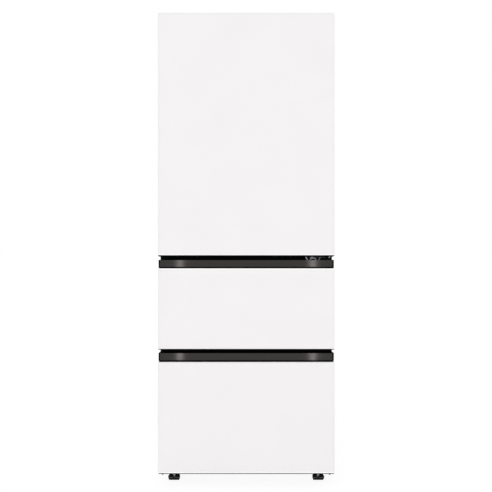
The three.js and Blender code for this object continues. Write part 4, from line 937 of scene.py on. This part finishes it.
def drawer_bin(name):
    node = f"{name}_bin"
    x0, x1, y0, y1, z0, z1 = place(node)
    ledge = place(f"{name}_slide_frame").z1 + 0.3
    step = 13.3  # how much narrower it is on each side below its ledge
    wall = (x0 + 3, x1 - 3, y0 + 3, y1 - 3)
    stations = [(26, 12, z0), (17, 4, z0 + 0.5), (14.2, 1, z0 + 3), (step, 0, z0 + 8),
                (step, 0, ledge - 0.1), (step - 0.6, 0, ledge + 0.2), (0.8, 0, ledge + 0.2), (0, ledge + 1),
                (0, z1 - 3.4), (-0.4, z1 - 3), (-2.6, z1 - 3), (-3, z1 - 2.6), (-3, z1 - 0.7), (-2.3, z1),
                (1.8, z1), (2.5, z1 - 0.7), (2.5, ledge + 3.5), (3.3, 2.5, ledge + 2.7),
                (step + 1.8, 2.5, ledge + 2.7), (step + 2.5, 2.5, ledge + 2), (step + 2.5, 2.5, z0 + 8),
                (step + 4, 4, z0 + 3.4), (28, 15, z0 + 2.5)]
    bm = bmesh.new()
    rect_loft(bm, "z", wall, stations, 14, 6)
    for side in (-1, 1):
        rect_loft(bm, "x", ((y0 + y1) / 2 - 55, (y0 + y1) / 2 + 55, z1 - 40, z1 - 16),
                  [(0, side * (x1 - 5.2)), (1, side * (x1 - 8)), (3, side * (x1 - 8.6)),
                   (6, side * (x1 - 8.6)), (7, side * (x1 - 7)), (8, side * (x1 - 5.2))], 10, 6, close=True)
    for x in range(-180, 181, 90):
        rect_loft(bm, "z", (x - 6, x + 6, y0 + 40, y1 - 40),
                  [(0, z0 + 2.3), (1.5, z0 + 3.1), (4, z0 + 3.4)], 6, 4)
    make(f"{name}_bin_tub", bm, "bin", f"{name}_drawer", [node])


def slides(name):
    """Slide frame with bolts and end rollers, and the fixed rails with their ball tracks."""
    node = f"{name}_slide_frame"
    _, _, y0, y1, z0, z1 = place(node)
    dressed(node, "zinc", 0.5)
    bm = bmesh.new()
    for side in (-1, 1):
        for z in (z0 + 8, z1 - 10):
            screw(bm, "y", (side * 240, z), y0 + 3, 1, 3.6)
        for y in range(int(y0) + 60, int(y1) - 30, 90):
            lathe(bm, "x", (y, (z0 + z1) / 2),
                  [(5, side * 257.8), (5, side * 257.2), (3.2, side * 257.0), (3.0, side * 257.6)], 20)
    make(f"{node}_bolts", bm, "zinc", f"{name}_drawer")
    for side, word in ((-1, "left"), (1, "right")):
        rail = f"{name}_rail_{word}"
        at = place(rail)
        dressed(rail, "zinc", 1.4, 3)
        bm = bmesh.new()
        inner = min(abs(at.x0), abs(at.x1))
        for z in (at.z0 + 8, at.z1 - 8):
            rect_loft(bm, "x", (at.y0 + 4, at.y1 - 4, z - 2.2, z + 2.2),
                      [(0, side * (inner + 0.5)), (0.6, side * (inner - 0.2)),
                       (1.6, side * (inner - 0.45))], 2, 4)
        make(f"{rail}_tracks", bm, "steel")


def container(word):
    node = f"container_{word}"
    x0, x1, y0, y1, z0, z1 = place(node)
    stations = [(9, z0), (3, z0 + 0.6), (0.8, z0 + 3.2), (0, z0 + 9), (0, z1 - 92), (0.9, z1 - 90),
                (0.9, z1 - 84), (0, z1 - 82), (0, z1 - 40), (0.9, z1 - 38), (0.9, z1 - 34), (0, z1 - 32),
                (0, z1 - 0.8), (0.8, z1), (2.2, z1), (3, z1 - 0.8), (3, z0 + 9), (4.2, z0 + 5),
                (9, z0 + 3)]
    bm = bmesh.new()
    rect_loft(bm, "z", (x0, x1, y0, y1), stations, 22, 8)
    middle = (x0 + x1) / 2
    for y, out in ((y0, -1), (y1, 1)):
        block(bm, middle - 46, middle + 46, y - out, y + out * 4.5, z1 - 58, z1 - 46, 2, 3)
    make(f"{node}_tub", bm, "container", "lower_drawer", [node])
    lid = f"{node}_lid"
    x0, x1, y0, y1, z0, z1 = place(lid)
    bm = bmesh.new()
    stations = [(12, z1 - 4), (3, z1 - 4), (3, z0 + 0.4), (2.6, z0), (0.5, z0), (0, z0 + 0.6),
                (0, z1 - 3.2), (0.9, z1 - 1), (3, z1), (15, z1), (16.2, z1 - 1.3), (22, z1 - 1.6),
                (23.4, z1 - 0.4), (26, z1 - 0.2)]
    rect_loft(bm, "z", (x0, x1, y0, y1), stations, 26, 8)
    make(f"{lid}_cover", bm, "lid", "lower_drawer", [lid])
    bm = bmesh.new()
    for side, edge in ((-1, x0), (1, x1)):
        for y in (y0 + 95, y1 - 95):
            block(bm, edge - side * 5, edge + side * 1.8, y - 24, y + 24, z0 + 1, z1 + 0.4, 1.2, 3)
    make(f"{lid}_clips", bm, "container", "lower_drawer")
    bm = bmesh.new()
    centre = ((x0 + x1) / 2, (y0 + y1) / 2)
    lathe(bm, "z", centre, [(21, z1 - 0.8), (21, z1 + 0.4), (19.5, z1 + 1.2), (16, z1 + 1.2),
                            (15, z1 + 0.2), (1, z1 + 0.2)], 36)
    make(f"{lid}_valve_seat", bm, "lid", "lower_drawer")
    bm = bmesh.new()
    lathe(bm, "z", centre,
          [(13.6, z1), (13.6, z1 + 2.2), (12, z1 + 3.4), (5, z1 + 3.8), (0.6, z1 + 3.9)], 32)
    make(f"{lid}_valve", bm, "silicone", "lower_drawer")


for drawer in ("middle", "lower"):
    drawer_bin(drawer)
    slides(drawer)
for word in ("left", "right"):
    container(word)

# -------- machine room


def compressor():
    x0, x1, y0, y1, z0, z1 = place("compressor")
    x, y = (x0 + x1) / 2, (y0 + y1) / 2
    dressed("compressor", "machine", 1.2, 3, angle=50, sharp=52)
    bm = bmesh.new()
    seam = (z0 + z1) / 2
    flange = [(74.4, seam - 3), (76.4, seam - 2.4), (77, seam), (76.4, seam + 2.4), (74.4, seam + 3)]
    lathe(bm, "z", (x, y), flange, 48)
    block(bm, x + 58, x + 84, y - 24, y + 24, seam - 30, seam + 26, 4, 3)
    make("compressor_seam_and_relay", bm, "machine")
    coil = place("condenser")
    bm = bmesh.new()
    tube(bm, [(x - 60, y - 40, z0 + 100), (x - 92, y - 40, z0 + 100), (x - 92, y - 84, z0 + 100),
              (x - 92, y - 84, z0 + 18), (coil.x1 + 20, y - 84, z0 + 18),
              (coil.x1 + 20, y - 84, coil.z0 + 44), (coil.x1 - 8, y - 84, coil.z0 + 44)], 3.2)
    tube(bm, [(x - 40, y + 52, z0 + 120), (x - 70, y + 78, z0 + 120), (x - 70, y + 78, z0 + 14),
              (x + 110, y + 78, z0 + 14), (x + 110, y + 78, z0 + 60)], 4.2)
    tube(bm, [(x + 30, y - 58, z0 + 96), (x + 60, y - 86, z0 + 96), (x + 60, y - 86, z0 + 226)], 3.6)
    make("refrigerant_pipes", bm, "copper")
    bm = bmesh.new()
    lathe(bm, "z", (x - 92, y - 84), [(3.4, z0 + 30), (9, z0 + 38), (9, z0 + 78), (3.4, z0 + 86)])
    make("filter_drier", bm, "copper")


compressor()
dressed("condenser", "fins", 0.2, 1)
dressed("fan_shroud", "black", 0.6)
dressed("drip_tray", "black", 0.8)
dressed("condenser_fan", "black", 0.5)

# -------- feet and rollers

SLOT_FLOOR = 9.0
SLOT_HALF = 5.6
PAD_TOP = 21.0
RIM_TOP = 10.6
PAD_HALF = 23
PAD_FRONT = [(20, -PAD_HALF), (23, -20), (21.6, -SLOT_HALF)]  # half plan, straight in front
PAD_REAR = [(18.4, SLOT_HALF), (16.5, 15), (11, PAD_HALF)]  # narrower behind
THREAD = 1.4


def front_foot(word):
    """Levelling pad, chamfered below and above, with a slot in each side that shows its stud."""
    node = f"front_foot_{word}"
    x0, x1, y0, y1, _, z1 = place(node)
    x, y = (x0 + x1) / 2, (y0 + y1) / 2
    half = PAD_FRONT + PAD_REAR
    plan = half + [(-u, v) for u, v in reversed(half)]
    bm = bmesh.new()
    lower = [(0.87, 0.965, 0), (0.875, 0.975, 1.2), (0.99, 0.995, 7.0), (1, 1, 8.0), (1, 1, SLOT_FLOOR)]
    loft(bm, [[Vector((x + u * across, y + v * along, h)) for u, v in plan] for across, along, h in lower])
    upper = ((0, SLOT_FLOOR - 0.4), (0, RIM_TOP), (0, 14.2), (0.4, 15.0), (4.2, PAD_TOP - 0.8),
             (5.2, PAD_TOP))
    for side, outer in product((-1, 1), (PAD_FRONT, PAD_REAR)):
        end = math.copysign(SLOT_HALF, outer[0][1] + outer[-1][1])
        rings = []
        for inset, height in upper:
            ring = [(SLOT_HALF, end), (SLOT_HALF, math.copysign(PAD_HALF - inset, end))]
            for u, v in outer if end < 0 else outer[::-1]:
                drawn = v if abs(v) <= SLOT_HALF else math.copysign(abs(v) - inset, v)
                ring.append((u - inset, drawn))
            rings.append([Vector((x + side * u, y + v, height)) for u, v in ring])
        loft(bm, rings)
    # Faces at the height of the rim get the grey band, a painted highlight on the pad.
    make(f"{node}_pad", bm, "rubber", f"foot_{word}", [node],
         zones=lambda c: "rim" if 7.8 < c.z < RIM_TOP and abs(c.y - y) > 8 else None)
    # The stud takes the lighter zinc copy, partly a painted highlight.
    bm = bmesh.new()
    profile = [(9.6, SLOT_FLOOR - 0.5), (9.6, PAD_TOP - 3), (8.8, PAD_TOP - 2), (5, PAD_TOP - 2)]
    height = PAD_TOP - THREAD
    while height < z1 - 1.6:
        profile += [(5.0, height), (4.35, height + THREAD / 2)]
        height += THREAD
    profile += [(4.4, z1 - 0.8), (3.6, z1)]
    lathe(bm, "z", (x, y), profile)
    make(f"{node}_stud", bm, "stud", f"foot_{word}")


def roller(word):
    node = f"rear_roller_{word}"
    x0, x1, y0, y1, z0, z1 = place(node)
    centre = ((y0 + y1) / 2, (z0 + z1) / 2)
    r = (z1 - z0) / 2
    bm = bmesh.new()
    half = [(4.4, 0), (7.4, 0), (7.8, 0.8), (8.2, 3.4), (14.5, 3.4), (15.2, 0.8), (16, 0), (r - 1.4, 0),
            (r, 1.4), (r, 6), (r - 0.7, 6.6)]
    profile = [(a, x0 + h) for a, h in half] + [(a, x1 - h) for a, h in reversed(half)]
    lathe(bm, "x", centre, profile, 40, close=True)
    make(f"{node}_wheel", bm, "rubber", f"roller_{word}", [node])


LIP_HEIGHT = 2.6
BUMPER_X = 315.1


def bumpers():
    """Black lip under the lower front and the two small bumpers on it."""
    x0, x1, y0, y1, z0, _ = place("lower_panel")
    bm = bmesh.new()
    z0 -= PANEL_DROP["lower_panel"][0]
    block(bm, x0 + 2, x1 - 2, y0 + 0.3, y1 + 1, z0 - LIP_HEIGHT, z0 + 0.2, 0.3)
    make("lower_front_lip", bm, "recess", "lower_drawer")
    bm = bmesh.new()
    for side in (-1, 1):
        lathe(bm, "z", (side * BUMPER_X, y0 + 4.2),
              [(3.4, z0), (3.4, z0 - 4.6), (2.6, z0 - 5.8), (0.6, z0 - 6.2)], 20)
    make("lower_drawer_bumpers", bm, "rubber", "lower_drawer")


for word in ("left", "right"):
    front_foot(word)
    roller(word)
bumpers()

# -------- stage, light and camera, all in metres

AMBIENT = 0.66
FLOOR_GLOW = 0.91  # with the light that it reflects, the floor comes out about white


def shows_stage(tree):
    """1 for the rays by which the background is seen, directly or in metal and glass, else 0."""
    rays = new_node(tree, "LightPath").outputs
    some = new_node(tree, "Math", {0: rays["Is Camera Ray"], 1: rays["Is Glossy Ray"]}, operation="MAXIMUM")
    every = {0: some.outputs[0], 1: rays["Is Transmission Ray"]}
    return new_node(tree, "Math", every, operation="MAXIMUM").outputs[0]


def stage_world():
    """White where it is seen, and softer as a light."""
    world = bpy.data.worlds.new("studio")
    world.use_nodes = True
    bpy.context.scene.world = world
    tree = world.node_tree
    background = tree.nodes["Background"]
    background.inputs["Color"].default_value = (1, 1, 1, 1)
    level = new_node(tree, "MapRange", {"Value": shows_stage(tree), "To Min": AMBIENT, "To Max": 1.0})
    tree.links.new(level.outputs["Result"], background.inputs["Strength"])


def stage_floor():
    """A pale floor that keeps the object's shadow but meets the white background."""
    far, h = 60.0, -0.0005  # half its size, and its height
    mesh = bpy.data.meshes.new("floor")
    mesh.from_pydata([(-far, -far, h), (far, -far, h), (far, far, h), (-far, far, h)], [], [(0, 1, 2, 3)])
    made = bpy.data.materials.new("floor")
    made.use_nodes = True
    tree = made.node_tree
    tree.nodes.remove(tree.nodes["Principled BSDF"])
    bounce = new_node(tree, "BsdfDiffuse", {"Color": (0.86, 0.86, 0.86, 1)})
    lit = new_node(tree, "BsdfDiffuse", {"Color": (0.12, 0.12, 0.12, 1)})
    glow = new_node(tree, "Emission", {"Strength": FLOOR_GLOW})
    both = new_node(tree, "AddShader", {0: lit.outputs[0], 1: glow.outputs[0]})
    mix = new_node(tree, "MixShader", {0: shows_stage(tree), 1: bounce.outputs[0], 2: both.outputs[0]})
    tree.links.new(mix.outputs[0], tree.nodes["Material Output"].inputs["Surface"])
    mesh.materials.append(made)
    floor = add_object("floor", mesh)


def sun(name, direction, power, softness):
    lamp = bpy.data.lights.new(name, "SUN")
    lamp.energy = power
    lamp.angle = math.radians(softness)
    holder = add_object(name, lamp)
    holder.rotation_mode = "QUATERNION"
    holder.rotation_quaternion = Vector(direction).to_track_quat("-Z", "Y")


LEVEL_AHEAD = (math.radians(90), 0, 0)  # looks along +Y, at the doors
CAMERA_DISTANCE = 2.450  # from the doors
CAMERA_ASIDE = -0.0008
CAMERA_HEIGHT = 0.9077
LINE_HEIGHT = 0.9
LINE_SIZE = (0.042, 2.2)
camera_y = cad_low.y - CAMERA_DISTANCE


def line_lamp(name, x, power):
    """A tall narrow lamp beside the camera, for a soft line on each handle strip."""
    lamp = bpy.data.lights.new(name, "AREA")
    lamp.shape = "RECTANGLE"
    lamp.size, lamp.size_y = LINE_SIZE
    lamp.energy = power
    holder = add_object(name, lamp)
    holder.location = (x, camera_y, LINE_HEIGHT)
    holder.rotation_euler = LEVEL_AHEAD
    holder.visible_camera = False


stage_world()
stage_floor()
sun("key", (0.5, 1.0, -0.75), 0.595, 30)
sun("fill", (-0.6, 1.0, -0.45), 0.42, 40)
sun("rear", (0.3, -1.0, -0.6), 0.34, 40)
line_lamp("line_left", -0.504, 1.33)
line_lamp("line_right", 0.507, 1.45)
lens = bpy.data.cameras.new("camera")
lens.lens, lens.sensor_width = 47.56, 36.0
camera = add_object("camera", lens)
camera.location = (CAMERA_ASIDE, camera_y, CAMERA_HEIGHT)
camera.rotation_euler = LEVEL_AHEAD
bpy.context.scene.camera = camera
bpy.context.scene.view_settings.view_transform = "Standard"
